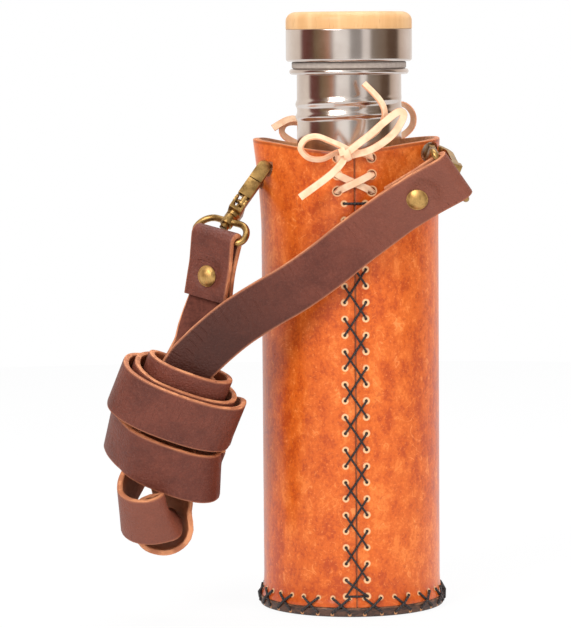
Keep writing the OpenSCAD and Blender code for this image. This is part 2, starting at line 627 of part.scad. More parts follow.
// Down round the hanging loop, and up through it and the bundle to the left snap
loop_run = [
    [[-63, -27, 67.5], [0.2, -0.4, 0.89]],
    [[-70, -24, 71.5], [0.22, -0.47, 0.84]], [[-78, -22, 75], [0.09, -0.59, 0.8]],
    [[-85, -22, 74.5], [-0.13, -0.67, 0.73]], [[-91.5, -24, 69.5], [-0.27, -0.74, 0.61]],
    [[-96.5, -29, 61], [-0.22, -0.74, 0.63]], [[-100.5, -36.5, 53.5], [-0.12, -0.61, 0.78]],
    [[-101, -44.5, 48], [-0.02, -0.52, 0.85]], [[-96, -50, 45], [0, -0.44, 0.9]],
    [[-88.5, -52, 44.5], [-0.07, -0.37, 0.93]], [[-82, -50, 46], [-0.22, -0.28, 0.94]],
    [[-81, -45, 47], [-0.45, -0.31, 0.84]], [[-83, -40, 48.5], [-0.63, -0.5, 0.6]],
    [[-86.5, -36, 48.5], [-0.69, -0.66, 0.3]], [[-90, -33, 44.5], [-0.63, -0.78, -0.04]],
    [[-91, -31.5, 38.5], [-0.4, -0.9, -0.17]], [[-89, -31, 33], [-0.17, -0.97, -0.16]],
    [[-83.5, -31, 30.5], [0.02, -0.99, -0.12]], [[-78, -31, 32], [0.14, -0.99, -0.07]],
    [[-74.5, -30.5, 37], [0.28, -0.96, 0]], [[-76.5, -28, 45], [0.5, -0.86, 0.1]],
    [[-79.5, -28.5, 54], [0.8, -0.59, 0.1]], [[-80, -30.5, 64], [0.87, -0.47, 0.13]],
    [[-79.8, -33.5, 74], [0.94, -0.18, 0.27]], [[-83, -34, 84], [0.99, 0.13, 0.08]]];
rise_run = [
    [[-1, 1.8, -4], [1, 0.1, -0.06]], [[-1, 1.5, 8], [0.99, -0.04, -0.12]],
    [[0.5, 2.3, 18.5], [0.99, -0.08, -0.04]], [[1.5, 5.5, 26], [0.98, -0.12, 0.17]],
    [[1, 12, 32.5], [0.92, -0.25, 0.28]]];
function led(run) = [for (r = run) [in_bundle(r[0]), bundle_way(r[1])]];
strap_steps = 2;
strap_knots = concat(
    strap_end(right_bar, right_strap_dir, right_strap_out, right_bar_dir),
    front_run, led(drop_run), turns, loop_run, led(rise_run),
    reversed(strap_end(left_bar, left_strap_dir, left_strap_out, left_bar_dir)));
strap_line = smooth([for (k = strap_knots) k[0]], strap_steps);
strap_wide = smooth([for (k = strap_knots) k[1]], strap_steps);
function strap_across(i) = across(strap_wide[i], tangent(strap_line, i));
function strap_ring(i) = let (w = strap_across(i), n = cross(tangent(strap_line, i), w),
    p = strap_line[i], a = strap_w / 2, b = strap_t / 2)
    [p + a * w + b * n, p + a * w - b * n, p - a * w - b * n, p - a * w + b * n];
module shoulder_strap() {
    color([0.46, 0.27, 0.22])
        polyhedron([for (i = [0:len(strap_line) - 1]) each strap_ring(i)],
            grid_faces(len(strap_line), 4), convexity = 20);
}
// Least gap between two layers of the strap: every sampled point against each near stretch
strap_run = [for (i = 0, l = 0; i < len(strap_line);
    i = i + 1, l = i < len(strap_line) ? l + norm(strap_line[i] - strap_line[i - 1]) : l) l];
sample_shares = [-0.98, -0.65, -0.33, 0, 0.33, 0.65, 0.98];
strap_frames = [for (i = [0:len(strap_line) - 1])
    let (t = tangent(strap_line, i), w = strap_across(i)) [strap_line[i], t, w, cross(t, w)]];
function layer_gap(p, f) = let (d = p - f[0])
    abs(d * f[1]) < strap_t * 0.6 && abs(d * f[2]) < strap_w / 2 ? abs(d * f[3]) - strap_t : strap_w;
strap_gaps = [for (i = [0:2:len(strap_line) - 1], j = [0:len(strap_line) - 1])
    if (abs(strap_run[j] - strap_run[i]) > strap_w
        && norm(strap_line[i] - strap_line[j]) < strap_w)
        min([for (s = sample_shares)
            layer_gap(strap_line[i] + s * strap_w / 2 * strap_frames[i][2], strap_frames[j])])];
echo(strap_length = strap_run[len(strap_run) - 1], least_gap = min(strap_gaps));

// Bottle
bottle_foot = base_t + rest_gap;
neck_thread_drop = 25;
neck_thread_z = bottle_foot + bottle_h - neck_thread_drop;
foot_round = 4;
rim_bead_r = 1.3;
shoulder_r = shoulder_top - shoulder_start;
function shoulder(r_out, r_in, a) = [r_in + (r_out - r_in) * cos(a), shoulder_start + shoulder_r * sin(a)];
function body_outline(t) = concat(
    [for (a = [-90:15:0]) [bottle_r - foot_round + (foot_round - t) * cos(a), foot_round + (foot_round - t) * sin(a)]],
    [for (a = [0:9:81]) shoulder(bottle_r - t, neck_r - t, a)]);
module bottle_body() {
    color([0.75, 0.74, 0.72]) translate([0, 0, bottle_foot]) difference() {
        union() {
            rotate_extrude($fn = 128) polygon(concat([[0, 0]], body_outline(0),
                [[neck_r, shoulder_top], [neck_r, bottle_h - rim_bead_r], [0, bottle_h - rim_bead_r]]));
            for (i = [0:2]) translate([0, 0, neck_thread_z - bottle_foot + i * neck_pitch])
                rotate_extrude($fn = 96) translate([neck_r - neck_thread_t / 2, 0])
                    circle(r = 1.5 * neck_thread_t, $fn = 24);
            translate([0, 0, bottle_h - rim_bead_r]) rotate_extrude($fn = 96) {
                translate([rim_r - rim_bead_r, 0]) circle(r = rim_bead_r, $fn = 24);
                translate([neck_r - bottle_wall, -rim_bead_r])
                    square([rim_r - rim_bead_r - neck_r + bottle_wall, 2 * rim_bead_r]);
            }
        }
        rotate_extrude($fn = 128) polygon(concat([[0, bottle_wall]], body_outline(bottle_wall),
            [[neck_r - bottle_wall, shoulder_top], [neck_r - bottle_wall, bottle_h + cut],
                [0, bottle_h + cut]]));
    }
}

// Cap: gasket, plug, steel shell and wooden disc
gasket_z = bottle_foot + bottle_h + rest_gap / 3;
cap_z = gasket_z + gasket_t;
cap_wall = 0.9;
cap_foot_round = 1.4;
cap_top_round = 2.6;
module cap_gasket() {
    color([0.62, 0.62, 0.60]) translate([0, 0, gasket_z]) difference() {
        cylinder(r = gasket_r, h = gasket_t);
        translate([0, 0, -cut]) cylinder(r = plug_r + rest_gap, h = gasket_t + 2 * cut);
    }
}
module cap_plug() {
    color([0.20, 0.20, 0.21]) union() {
        translate([0, 0, gasket_z - plug_l]) difference() {
            cylinder(r = plug_r, h = plug_l + gasket_t);
            translate([0, 0, -cut])
                cylinder(r = plug_r - 2 * cap_wall, h = plug_l - cap_wall + cut);
        }
        translate([0, 0, cap_z + rest_gap / 3])
            cylinder(r = cap_r - cap_wall - rest_gap, h = cap_wall);
        translate([0, 0, cap_z - cap_wall]) cylinder(r = plug_r, h = 2 * cap_wall);
    }
}
module cap_shell() {
    color([0.75, 0.73, 0.70]) translate([0, 0, cap_z]) difference() {
        rotate_extrude() polygon(concat([[0, 0]],
            [for (a = [-90:30:0]) [cap_r - cap_foot_round + cap_foot_round * cos(a),
                cap_foot_round + cap_foot_round * sin(a)]],
            [[cap_r, cap_shell_h], [0, cap_shell_h]]));
        translate([0, 0, -cut])
            cylinder(r = cap_r - cap_wall, h = cap_shell_h - cap_wall + cut);
    }
}
module cap_disc() {
    color([0.90, 0.70, 0.42]) translate([0, 0, cap_z + cap_shell_h]) rotate_extrude()
        polygon(concat([[0, 0], [cap_r, 0]],
            [for (a = [0:15:90]) [cap_r - cap_top_round + cap_top_round * cos(a),
                cap_wood_h - cap_top_round + cap_top_round * sin(a)]],
            [[0, cap_wood_h]]));
}

left_panel();
right_panel();
base_disc();
front_seam_thread();
back_seam_thread();
base_thread();
front_lace();
back_lace();
shoulder_strap();
left_rivet();
right_rivet();
left_eye();
right_eye();
left_hook();
right_hook();
left_gate();
right_gate();
left_gate_pin();
right_gate_pin();
left_gate_spring();
right_gate_spring();
bottle_body();
cap_gasket();
cap_plug();
cap_shell();
cap_disc();
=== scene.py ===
"""Leather bottle carrier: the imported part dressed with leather, thread, brass, steel and bamboo."""

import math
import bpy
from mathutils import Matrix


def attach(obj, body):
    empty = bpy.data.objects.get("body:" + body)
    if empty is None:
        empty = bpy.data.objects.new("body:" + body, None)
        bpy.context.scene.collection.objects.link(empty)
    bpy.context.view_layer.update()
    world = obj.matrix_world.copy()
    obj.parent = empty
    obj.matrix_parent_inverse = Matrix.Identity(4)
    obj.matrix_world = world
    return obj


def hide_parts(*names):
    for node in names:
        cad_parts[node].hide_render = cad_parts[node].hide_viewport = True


bl_info = {
    "name": "Leather bottle carrier",
    "version": (1, 0, 0),
    "blender": (4, 5, 0),
    "location": "View3D > Sidebar > Carrier",
    "description": "Dresses the stitched leather bottle carrier with its strap, laces, snaps and bottle",
    "category": "Object",
}

import bpy
from mathutils import Matrix, Vector

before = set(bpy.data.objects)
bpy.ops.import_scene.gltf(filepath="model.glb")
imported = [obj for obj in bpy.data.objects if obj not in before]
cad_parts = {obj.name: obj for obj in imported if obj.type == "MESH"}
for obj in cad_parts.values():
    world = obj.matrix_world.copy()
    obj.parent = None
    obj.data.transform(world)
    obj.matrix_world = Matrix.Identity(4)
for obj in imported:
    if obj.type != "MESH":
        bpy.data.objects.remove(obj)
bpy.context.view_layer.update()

# The lengths named below are in millimetres, and MM turns them into metres. Angles are in degrees, apart
# from NECK_RUN_OUT and the two angles of the camera, which are in radians
MM = 0.001
ALONG_Z = Vector((0, 0, 1))

# Sleeve
SLEEVE_R = 39.6
LEATHER_T = 2.6
RIM_Z = 204.2
RIM_RISE = 5.4
FOOT_FLARE = 1.3
FOOT_H = 10
BASE_R = 41.3
BASE_T = 4
BASE_ROUND = 0.7
# The two cut edges all but touch in the real seam
BUTT_GAP = 0.12
SEAM_TURN = 2
FRONT_AZ = 270 + SEAM_TURN
BACK_AZ = FRONT_AZ - 180
EAR_PULL = 5
EAR_SPREAD = 17
EAR_START_Z = 168
EAR_EASE = 1.2
RIGHT_EAR_SHARE = 0.6
LEFT_EAR_AZ = 198
RIGHT_EAR_AZ = 332
EAR_HOLE_CLEAR = 0.9

# Stitching and lacing
STITCH_OFFSET = 4.65
STITCH_PITCH = 7.2
STITCH_COUNT = 25
STITCH_FOOT_Z = 9
STITCH_HEAD_Z = STITCH_FOOT_Z + (STITCH_COUNT - 0.5) * STITCH_PITCH
BASE_CROSSES = 18
BASE_CROSS_W = 7.4
BASE_HOLE_Z = BASE_T + 4.2
LACE_OFFSET = 7.5
LACE_TOP_Z = 201.6
LACE_PITCH = 7.2
LACE_COUNT = 3
LACE_FOOT_Z = LACE_TOP_Z - (LACE_COUNT - 1) * LACE_PITCH
LACING_START_Z = 183
LACE_HOLE_D = 3.6
LACE_PRESS = 0.8

# Snaps, measured from the bar of each eye
EYE_WIRE_D = 3
STRAP_W = 22
STRAP_T = 2.6
STRAP_EDGE_ROUND = 0.75
STRAP_GAP = 0.6
RIVET_REACH = 17
TAB_TAIL = 10
GATE_SIDE = 4.8
SPINE_SIDE = 5.2
BEND_REACH = 39
GATE_TIP_REACH = 31
HOOK_T = 3
SNAP_W = 6
BEND_W = 3.6

# Bottle
REST_GAP = 0.3
BOTTLE_R = 35.3
BOTTLE_WALL = 0.8
NECK_R = 23.3
BOTTLE_H = 235.8
SHOULDER_START = 164
SHOULDER_TOP = 193
NECK_PITCH = 5.8
NECK_THREAD_T = 0.9
NECK_THREAD_W = 4.8
NECK_THREAD_DROP = 24.5
NECK_RUN_OUT = 0.5
RIM_R = 26.6
BEAD_R = 1.3
GASKET_R = 25.5
GASKET_T = 3
GASKET_BORE = 21.1
CAP_R = 28.1
CAP_WALL = 0.9
CAP_SHELL_H = 14.4
CAP_WOOD_H = 7.7
CAP_WOOD_ROUND = 4.6
CAP_WOOD_RISE = 4
BOTTLE_FOOT = BASE_T + REST_GAP
GASKET_Z = BOTTLE_FOOT + BOTTLE_H + REST_GAP / 3
CAP_Z = GASKET_Z + GASKET_T
CAP_SHELL_TOP = CAP_Z + CAP_SHELL_H

# Stage: the camera as it was fitted to the photograph, whose long side is 628 pixels
CAMERA_PLACE = Vector((-29.1, -1450, 253))
CAMERA_DIP = 0.0843
CAMERA_ROLL = 0.0076
FOCAL_PIXELS = 3243.9
LONG_SIDE_PIXELS = 628
SENSOR_W = 36
# The floor ends before the dark of the room that the steel mirrors
FLOOR_R = 1100
FLOOR_DROP = 0.2


def paint(red, green, blue):
    """Turns a colour as it is seen on screen, 0 to 255, into the linear one that a shader takes."""
    return tuple(c / 12.92 if c <= 0.04045 else ((c + 0.055) / 1.055) ** 2.4
                 for c in (red / 255, green / 255, blue / 255))


# Values that a user would change

def size(name, description, usual, least, most):
    """A length that a user can change, given here in millimetres."""
    return bpy.props.FloatProperty(
        name=name, description=description, default=usual * MM, min=least * MM, max=most * MM,
        unit="LENGTH", subtype="DISTANCE")


def tint(name, description, *seen):
    """A colour that a user can change, given here as it is seen on screen."""
    return bpy.props.FloatVectorProperty(
        name=name, description=description, default=paint(*seen), size=3, min=0, max=1, subtype="COLOR")


class CarrierSizes(bpy.types.PropertyGroup):
    """Sizes of the dressed leather, thread and lace."""
    strap_width: size("Strap width", "Width of the shoulder strap", STRAP_W, 18, 23)
    strap_thickness: size("Strap thickness", "Thickness of the shoulder strap", STRAP_T, 2, 2.7)
    thread_width: size("Thread width", "Width of the waxed thread", 1.15, 0.8, 1.4)
    lace_width: size("Lace width", "Width of the flat lace", 3.2, 2.8, 3.4)
    lace_thickness: size("Lace thickness", "Thickness of the flat lace", 0.95, 0.7, 1.4)
    stitch_hole: size("Stitch hole", "Diameter of a punched stitch hole", 1.4, 1, 1.8)
    hole_ring: size("Bare ring", "Diameter of the pale ring of bare leather round a stitch hole", 3.4, 2, 4)
    edge_round: size("Edge round", "Rounding of the sleeve's cut edges", 0.5, 0.2, 0.9)


class CarrierColours(bpy.types.PropertyGroup):
    """Colours of the dressed carrier."""
    tan: tint("Tan leather", "Middle tone of the sleeve", 208, 94, 24)
    tan_light: tint("Tan leather, light", "Lighter clouds of the sleeve", 226, 118, 46)
    tan_deep: tint("Tan leather, deep", "Darker clouds of the sleeve", 178, 68, 16)
    bare: tint("Bare leather", "Undyed leather round the holes", 238, 192, 144)
    brown: tint("Brown leather", "Grain side of the strap", 110, 55, 41)
    brown_deep: tint("Brown leather, deep", "Darker clouds of the strap", 88, 41, 30)
    strap_edge: tint("Strap edge", "Cut edges of the strap", 212, 142, 98)
    suede: tint("Suede", "Flesh side of the strap", 150, 90, 60)
    lace: tint("Lace", "Undyed lace", 246, 209, 174)
    thread: tint("Thread", "Waxed thread", 50, 44, 44)
    brass: tint("Brass", "High places of the antique brass", 180, 144, 88)
    brass_deep: tint("Brass, deep", "Dark patina of the antique brass", 116, 88, 50)
    bamboo: tint("Bamboo", "Oiled bamboo of the cap", 222, 176, 122)


# Shader maths

class Wire:
    """An output of a shader node, with which maths is written as plain expressions."""

    def __init__(self, recipe, socket):
        self.recipe = recipe
        self.socket = socket

    def maths(self, kind, *values):
        return self.recipe.node("ShaderNodeMath", {"operation": kind},
                                {i: v for i, v in enumerate((self,) + values)})

    def __add__(self, other):
        return self.maths("ADD", other)

    def __sub__(self, other):
        return self.maths("SUBTRACT", other)

    def __rsub__(self, other):
        return self.recipe.node("ShaderNodeMath", {"operation": "SUBTRACT"}, {0: other, 1: self})

    def __mul__(self, other):
        return self.maths("MULTIPLY", other)

    __radd__ = __add__
    __rmul__ = __mul__

    def __truediv__(self, other):
        return self.maths("DIVIDE", other)

    def __lt__(self, other):
        return self.maths("LESS_THAN", other)

    def __gt__(self, other):
        return self.maths("GREATER_THAN", other)

    def __abs__(self):
        return self.maths("ABSOLUTE")

    def sine(self):
        return self.maths("SINE")

    def over(self, other):
        return self.maths("MAXIMUM", other)

    def under(self, other):
        return self.maths("MINIMUM", other)

    def fraction(self):
        return self.maths("FRACT")

    def root(self):
        return self.maths("SQRT")

    def between(self, low, high):
        """Rises from 0 at low to 1 at high, with soft ends."""
        return self.recipe.node(
            "ShaderNodeMapRange", {"interpolation_type": "SMOOTHSTEP"},
            {"Value": self, "From Min": low, "From Max": high})

    def fading(self, low, high):
        """Falls from 1 at low to 0 at high, with soft ends."""
        return 1 - self.between(low, high)

    def with_side(self, other):
        """Length of the line whose two legs these are."""
        return (self * self + other * other).root()


class Recipe:
    """Node tree of one material or of the world."""

    def __init__(self, owner):
        owner.use_nodes = True
        self.tree = owner.node_tree
        self.tree.nodes.clear()

    def node(self, kind, settings=None, sockets=None, out=0):
        made = self.tree.nodes.new(kind)
        for key, value in (settings or {}).items():
            if key == "stops":
                self.set_stops(made.color_ramp, value)
            else:
                setattr(made, key, value)
        for key, value in (sockets or {}).items():
            if isinstance(value, Wire):
                self.tree.links.new(value.socket, made.inputs[key])
            else:
                made.inputs[key].default_value = value
        return Wire(self, made.outputs[out]) if len(made.outputs) else made

    def set_stops(self, ramp, stops):
        while len(ramp.elements) < len(stops):
            ramp.elements.new(1)
        for element, (place, colour) in zip(ramp.elements, stops):
            element.position = place
            element.color = tuple(colour) + (1,)

    def place(self):
        """Place on the object, in metres."""
        return self.node("ShaderNodeTexCoord", out="Object")

    def parts(self, vector):
        split = self.node("ShaderNodeSeparateXYZ", sockets={0: vector})
        return [Wire(self, split.socket.node.outputs[i]) for i in range(3)]

    def map(self, name):
        """The piece's own flat map, in metres: along and across."""
        return self.node("ShaderNodeUVMap", {"uv_map": name})

    def stretched(self, vector, scale):
        return self.node("ShaderNodeVectorMath", {"operation": "MULTIPLY"}, {0: vector, 1: scale})

    def noise(self, vector, scale, detail=3, rough=0.5, warp=0):
        return self.node("ShaderNodeTexNoise", sockets={
            "Vector": vector, "Scale": scale, "Detail": detail, "Roughness": rough,
            "Distortion": warp})

    def cells(self, vector, scale):
        return self.node("ShaderNodeTexVoronoi", sockets={"Vector": vector, "Scale": scale})

    def rays(self):
        """Whether a ray comes from the camera, from a glossy surface or through a clear one."""
        paths = self.node("ShaderNodeLightPath").socket.node.outputs
        return [Wire(self, paths[name])
                for name in ("Is Camera Ray", "Is Glossy Ray", "Is Transmission Ray")]

    def mix(self, factor, first, second):
        def opaque(colour):
            return colour if isinstance(colour, Wire) else tuple(colour) + (1,)
        return self.node("ShaderNodeMix", {"data_type": "RGBA", "clamp_factor": True},
                         {0: factor, 6: opaque(first), 7: opaque(second)}, out=2)

    def bump(self, height, depth, strength=1, normal=None):
        sockets = {"Height": height, "Distance": depth, "Strength": strength}
        if normal:
            sockets["Normal"] = normal
        return self.node("ShaderNodeBump", sockets=sockets)

    def finish(self, **values):
        names = {"colour": "Base Color", "rough": "Roughness", "metal": "Metallic",
                 "normal": "Normal", "coat": "Coat Weight", "coat_rough": "Coat Roughness",
                 "sheen": "Sheen Weight", "gloss": "Specular IOR Level"}
        sockets = {}
        for key, value in values.items():
            if key == "colour" and not isinstance(value, Wire):
                value = tuple(value) + (1,)
            sockets[names[key]] = value
        surface = self.node("ShaderNodeBsdfPrincipled", sockets=sockets)
        self.node("ShaderNodeOutputMaterial", sockets={"Surface": surface})


def new_recipe(name):
    material = bpy.data.materials.new(name)
    return material, Recipe(material)


def colours():
    return bpy.context.scene.carrier_colours


def sizes():
    return bpy.context.scene.carrier_sizes


def repeated(value, first, pitch):
    """Distance from the nearest of a row of places, which start at first and are pitch apart."""
    return ((value - first) / pitch + 0.5).fraction() * pitch - pitch / 2


def tan_leather(r):
    paints = colours()
    place = r.place()
    height = r.parts(r.map("UVMap"))[1]
    seam, below_rim = r.parts(r.map("Edges"))[:2]
    clouds = r.noise(r.stretched(place, (1, 1, 0.45)), 38, 4, 0.55, 0.4)
    flecks = r.noise(r.stretched(place, (1, 1, 0.7)), 170, 3, 0.6)
    drags = r.noise(r.stretched(place, (1, 1, 0.12)), 420, 3, 0.6)
    grit = r.noise(place, 700, 3, 0.7)
    tone = clouds * 0.30 + flecks * 0.36 + drags * 0.06 + grit * 0.28
    colour = r.mix(tone.between(0.40, 0.52), paints.tan_deep, paints.tan)
    colour = r.mix(tone.between(0.51, 0.60), colour, paints.tan_light)
    scratches = abs(r.noise(place, 65, 2, 0.5, 1.5) - 0.5).fading(0.003, 0.012)
    colour = r.mix(scratches * flecks.between(0.48, 0.6) * 0.45, colour, paint(242, 152, 84))
    bright = r.noise(place, 850, 2, 0.7).between(0.60, 0.70)
    colour = r.mix(bright * 0.4, colour, paint(242, 150, 80))
    specks = r.noise(place, 330, 2, 0.6).between(0.60, 0.70) * clouds.between(0.5, 0.6)
    colour = r.mix(specks * 0.5, colour, paints.tan_deep)
    # Darker towards the foot
    colour = r.mix(height.fading(4 * MM, 20 * MM) * 0.35, colour, paints.tan_deep)
    # Bare rings round the stitch holes, the lace holes and the holes of the base crosses
    ring = sizes().hole_ring / 2
    hole = sizes().stitch_hole / 2
    row = repeated(height, STITCH_FOOT_Z * MM, STITCH_PITCH * MM)
    stitch = row.with_side(seam - STITCH_OFFSET * MM) + (height > STITCH_HEAD_Z * MM)
    lace_row = repeated(height, LACE_FOOT_Z * MM, LACE_PITCH * MM)
    lace_hole = lace_row.with_side(seam - LACE_OFFSET * MM) + (height < LACING_START_Z * MM)
    cross_pitch = math.radians(360 / BASE_CROSSES) * SLEEVE_R * MM
    from_cross = abs(repeated(seam, cross_pitch / 2, cross_pitch)) - BASE_CROSS_W / 2 * MM
    base_hole = from_cross.with_side(height - BASE_HOLE_Z * MM)
    ragged = (flecks - 0.5) * 0.9 * MM
    rings = ((stitch + ragged).fading(ring * 0.72, ring * 1.05)
             .over((base_hole + ragged).fading(ring * 0.5, ring * 0.8))
             .over((lace_hole + ragged).fading(2.05 * MM, 2.6 * MM)))
    colour = r.mix(rings * 0.9, colour, paints.bare)
    # Painted shade in and round the mouths of the stitch holes and the lace holes
    hole_shade = stitch.fading(hole * 0.8, hole * 1.25).over(lace_hole.fading(1.7 * MM, 1.95 * MM))
    colour = r.mix(hole_shade * 0.85, colour, paint(66, 34, 20))
    # Burnished line under the rim and at the butt joint of the seam
    colour = r.mix(below_rim.fading(0.9 * MM, 1.9 * MM) * 0.5, colour, paint(104, 46, 22))
    colour = r.mix(seam.fading(0.2 * MM, 0.7 * MM) * 0.55, colour, paint(84, 36, 20))
    colour = r.mix(below_rim.fading(0.25 * MM, 0.55 * MM) * 0.5, colour, paints.tan_light)
    # Leather is drawn in at every hole, and has pores and fine creases
    pull = stitch.fading(0, 3 * MM) + lace_hole.fading(0, 3.6 * MM) + base_hole.fading(0, 2.6 * MM)
    pores = r.cells(place, 1500)
    creases = r.noise(r.stretched(place, (1, 1, 0.6)), 420, 4, 0.65)
    grain = r.bump(pores * 0.35 + creases * 0.65, 0.10 * MM, 0.55)
    waves = r.bump(r.noise(r.stretched(place, (1, 1, 0.5)), 55, 2), 0.9 * MM, 0.35, grain)
    r.finish(colour=colour, rough=flecks * 0.22 + 0.22 + rings * 0.3,
             normal=r.bump(0 - pull, 0.45 * MM, 0.7, waves),
             coat=0.12 - rings * 0.1, coat_rough=0.16, gloss=0.35)


def bare_leather(r, colour, deep, nap=0.35):
    place = r.place()
    fluff = r.noise(place, 520, 4, 0.7)
    tone = r.noise(place, 90, 3) * 0.5 + fluff * 0.5
    r.finish(colour=r.mix(tone.between(0.36, 0.62), deep, colour), rough=0.86,
             normal=r.bump(fluff, nap * MM, 0.5), sheen=0.15)


# Places along the strap, in millimetres from the end of its right tail
PAINTED_LIGHT_END = (40, 110)
HANGING_LOOP = (735, 755, 800, 815)
SHADED_STRETCH = (95, 165, 170, 230)
DYED_FROM = (940, 950)
RIGHT_RIVET_RUN = 50
LEFT_RIVET_RUN = 1012


def on_stretch(along, stretch):
    """1 on a stretch of the strap, with soft ends."""
    a, b, c, d = [run * MM for run in stretch]
    return along.between(a, b) * along.fading(c, d)


def strap_leather(r):
    paints = colours()
    place = r.place()
    along, across = r.parts(r.map("UVMap"))[:2]
    clouds = r.noise(place, 70, 4, 0.55, 0.3)
    wrinkles = r.noise(r.stretched(r.map("UVMap"), (420, 300, 1)), 1, 4, 0.6, 0.4)
    tone = clouds * 0.6 + wrinkles * 0.25 + r.noise(place, 900, 2) * 0.15
    colour = r.mix(tone.between(0.34, 0.64), paints.brown_deep, paints.brown)
    scuffs = r.noise(place, 210, 3, 0.7).between(0.60, 0.80)
    colour = r.mix(scuffs * 0.25, colour, paint(132, 78, 62))
    # Paler at the right end, where painted light stands for the lit top of the band, and paler on the hanging
    # loop
    paler_band = along.fading(PAINTED_LIGHT_END[0] * MM, PAINTED_LIGHT_END[1] * MM).over(on_stretch(along, HANGING_LOOP))
    colour = r.mix(paler_band * 0.55, colour, paint(138, 80, 62))
    grain = r.noise(place, 1200, 2, 0.7).between(0.48, 0.68)
    colour = r.mix(grain * 0.16, colour, paint(146, 92, 76))
    # Painted shade where the band turns down and away into the bundle
    colour = r.mix(on_stretch(along, SHADED_STRETCH) * 0.75, colour, paint(50, 24, 18))
    # Dye wears thin next to both cut edges
    margin = abs(across) - (sizes().strap_width / 2 - 0.9 * MM)
    colour = r.mix(margin.between(-0.2 * MM, 0.7 * MM) * 0.75, colour, paint(168, 104, 74))
    creases = (along * 1800 + clouds * 7).sine().between(0.72, 1) * clouds.between(0.48, 0.66)
    height = wrinkles * 0.5 + r.cells(place, 1100) * 0.3 - creases * 0.3
    # The rivets draw the leather in
    rivet = abs(along - RIGHT_RIVET_RUN * MM).under(abs(along - LEFT_RIVET_RUN * MM))
    drawn = rivet.with_side(across).fading(4 * MM, 9 * MM)
    pulled = r.bump(0 - drawn - drawn * wrinkles * 1.6, 1.0 * MM, 0.8)
    r.finish(colour=colour, rough=0.40 + wrinkles * 0.2,
             normal=r.bump(height, 0.9 * MM, 0.8, pulled), gloss=0.32)


def strap_cut(r):
    layers = r.noise(r.stretched(r.map("UVMap"), (160, 2600, 1)), 1, 3, 0.6)
    spots = r.noise(r.place(), 330, 3, 0.7)
    colour = r.mix(layers.between(0.42, 0.62), paint(176, 108, 72), colours().strap_edge)
    colour = r.mix(spots.between(0.58, 0.72) * 0.7, colour, paint(112, 62, 44))
    r.finish(colour=colour, rough=0.7, normal=r.bump(layers + spots * 0.5, 0.12 * MM, 0.6))


def strap_flesh(r):
    """The band's flesh side, which is bare in the hanging loop and dyed on the run up to the left tab."""
    along = r.parts(r.map("UVMap"))[0]
    fluff = r.noise(r.place(), 520, 4, 0.7)
    tone = r.noise(r.place(), 90, 3) * 0.5 + fluff * 0.5
    bare = r.mix(tone.between(0.36, 0.62), paint(132, 74, 46), colours().suede)
    dyed = r.mix(tone.between(0.36, 0.62), paint(80, 40, 31), paint(108, 58, 46))
    start, full_from = DYED_FROM
    share = (along + tone * 20 * MM).between(start * MM, full_from * MM)
    r.finish(colour=r.mix(share, bare, dyed), rough=0.8, normal=r.bump(fluff, 0.3 * MM, 0.5), gloss=0.2)


def lace_leather(r):
    fibres = r.noise(r.stretched(r.map("UVMap"), (500, 2200, 1)), 1, 3, 0.6)
    clouds = r.noise(r.place(), 240, 3)
    colour = r.mix(clouds.between(0.38, 0.6), paint(238, 192, 154), colours().lace)
    r.finish(colour=colour, rough=0.66, normal=r.bump(fibres, 0.08 * MM, 0.5), gloss=0.35)


def waxed_thread(r):
    along, across = r.parts(r.map("UVMap"))[:2]
    twist = ((along / (1.5 * MM) + across / (3.2 * MM)) * (2 * math.pi)).sine()
    fuzz = r.noise(r.place(), 1400, 2)
    colour = r.mix(twist.between(-0.6, 0.9), paint(28, 22, 22), colours().thread)
    colour = r.mix(fuzz.between(0.6, 0.8) * 0.5, colour, paint(104, 92, 88))
    r.finish(colour=colour, rough=0.5 + fuzz * 0.2, normal=r.bump(twist * 0.5 + fuzz * 0.3, 0.12 * MM, 0.8))


def edge_leather(r):
    """Dark waxed edge of the base disc, with tan dots where the thread's slits were punched."""
    place = r.place()
    x, y, z = r.parts(place)
    turn = r.node("ShaderNodeMath", {"operation": "ARCTAN2"}, {0: y, 1: x})
    pitch = math.radians(360 / BASE_CROSSES)
    first = math.radians(FRONT_AZ) - 2 * math.pi + pitch / 2
    aside = abs(repeated(turn, first, pitch)) - math.asin(BASE_CROSS_W / 2 / SLEEVE_R)
    dot = (aside * BASE_R * MM).with_side(z - 1.1 * MM)
    grain = r.noise(r.stretched(place, (1, 1, 3)), 300, 4, 0.65)
    colour = r.mix(grain.between(0.35, 0.65), paint(44, 28, 22), paint(92, 60, 44))
    paler_band = (z - 3.4 * MM).between(-0.3 * MM, 0.5 * MM) * grain.between(0.45, 0.6)
    colour = r.mix(paler_band * 0.6, colour, paint(150, 100, 66))
    colour = r.mix(dot.fading(0.55 * MM, 1.0 * MM) * 0.85, colour, paint(206, 146, 96))
    r.finish(colour=colour, rough=0.45 + grain * 0.2, normal=r.bump(grain, 0.15 * MM, 0.5), coat=0.1)


def antique_brass(r, light=1.0, rough=0.34):
    paints = colours()
    place = r.place()
    patina = r.noise(place, 240, 3, 0.55)
    brush = r.noise(r.stretched(place, (1, 1, 0.15)), 2400, 2)
    deep, high = [[min(1, c * light) for c in tone] for tone in (paints.brass_deep, paints.brass)]
    r.finish(colour=r.mix((patina * 0.7 + brush * 0.3).between(0.3, 0.62), deep, high),
             rough=patina * 0.16 + (rough - 0.06), metal=1.0,
             normal=r.bump(patina * 0.4 + brush * 0.6, 0.02 * MM, 0.4))


def spun_steel(r):
    """Electropolished steel with the faint rings that spinning leaves."""
    place = r.place()
    rings = r.noise(r.stretched(place, (0.5, 0.5, 60)), 60, 3, 0.6)
    smears = r.noise(place, 60, 3)
    r.finish(colour=r.mix(smears.between(0.3, 0.7), paint(206, 194, 186), paint(222, 212, 205)),
             rough=0.11 + rings * 0.09 + smears * 0.04, metal=1.0,
             normal=r.bump(rings, 0.012 * MM, 0.4))


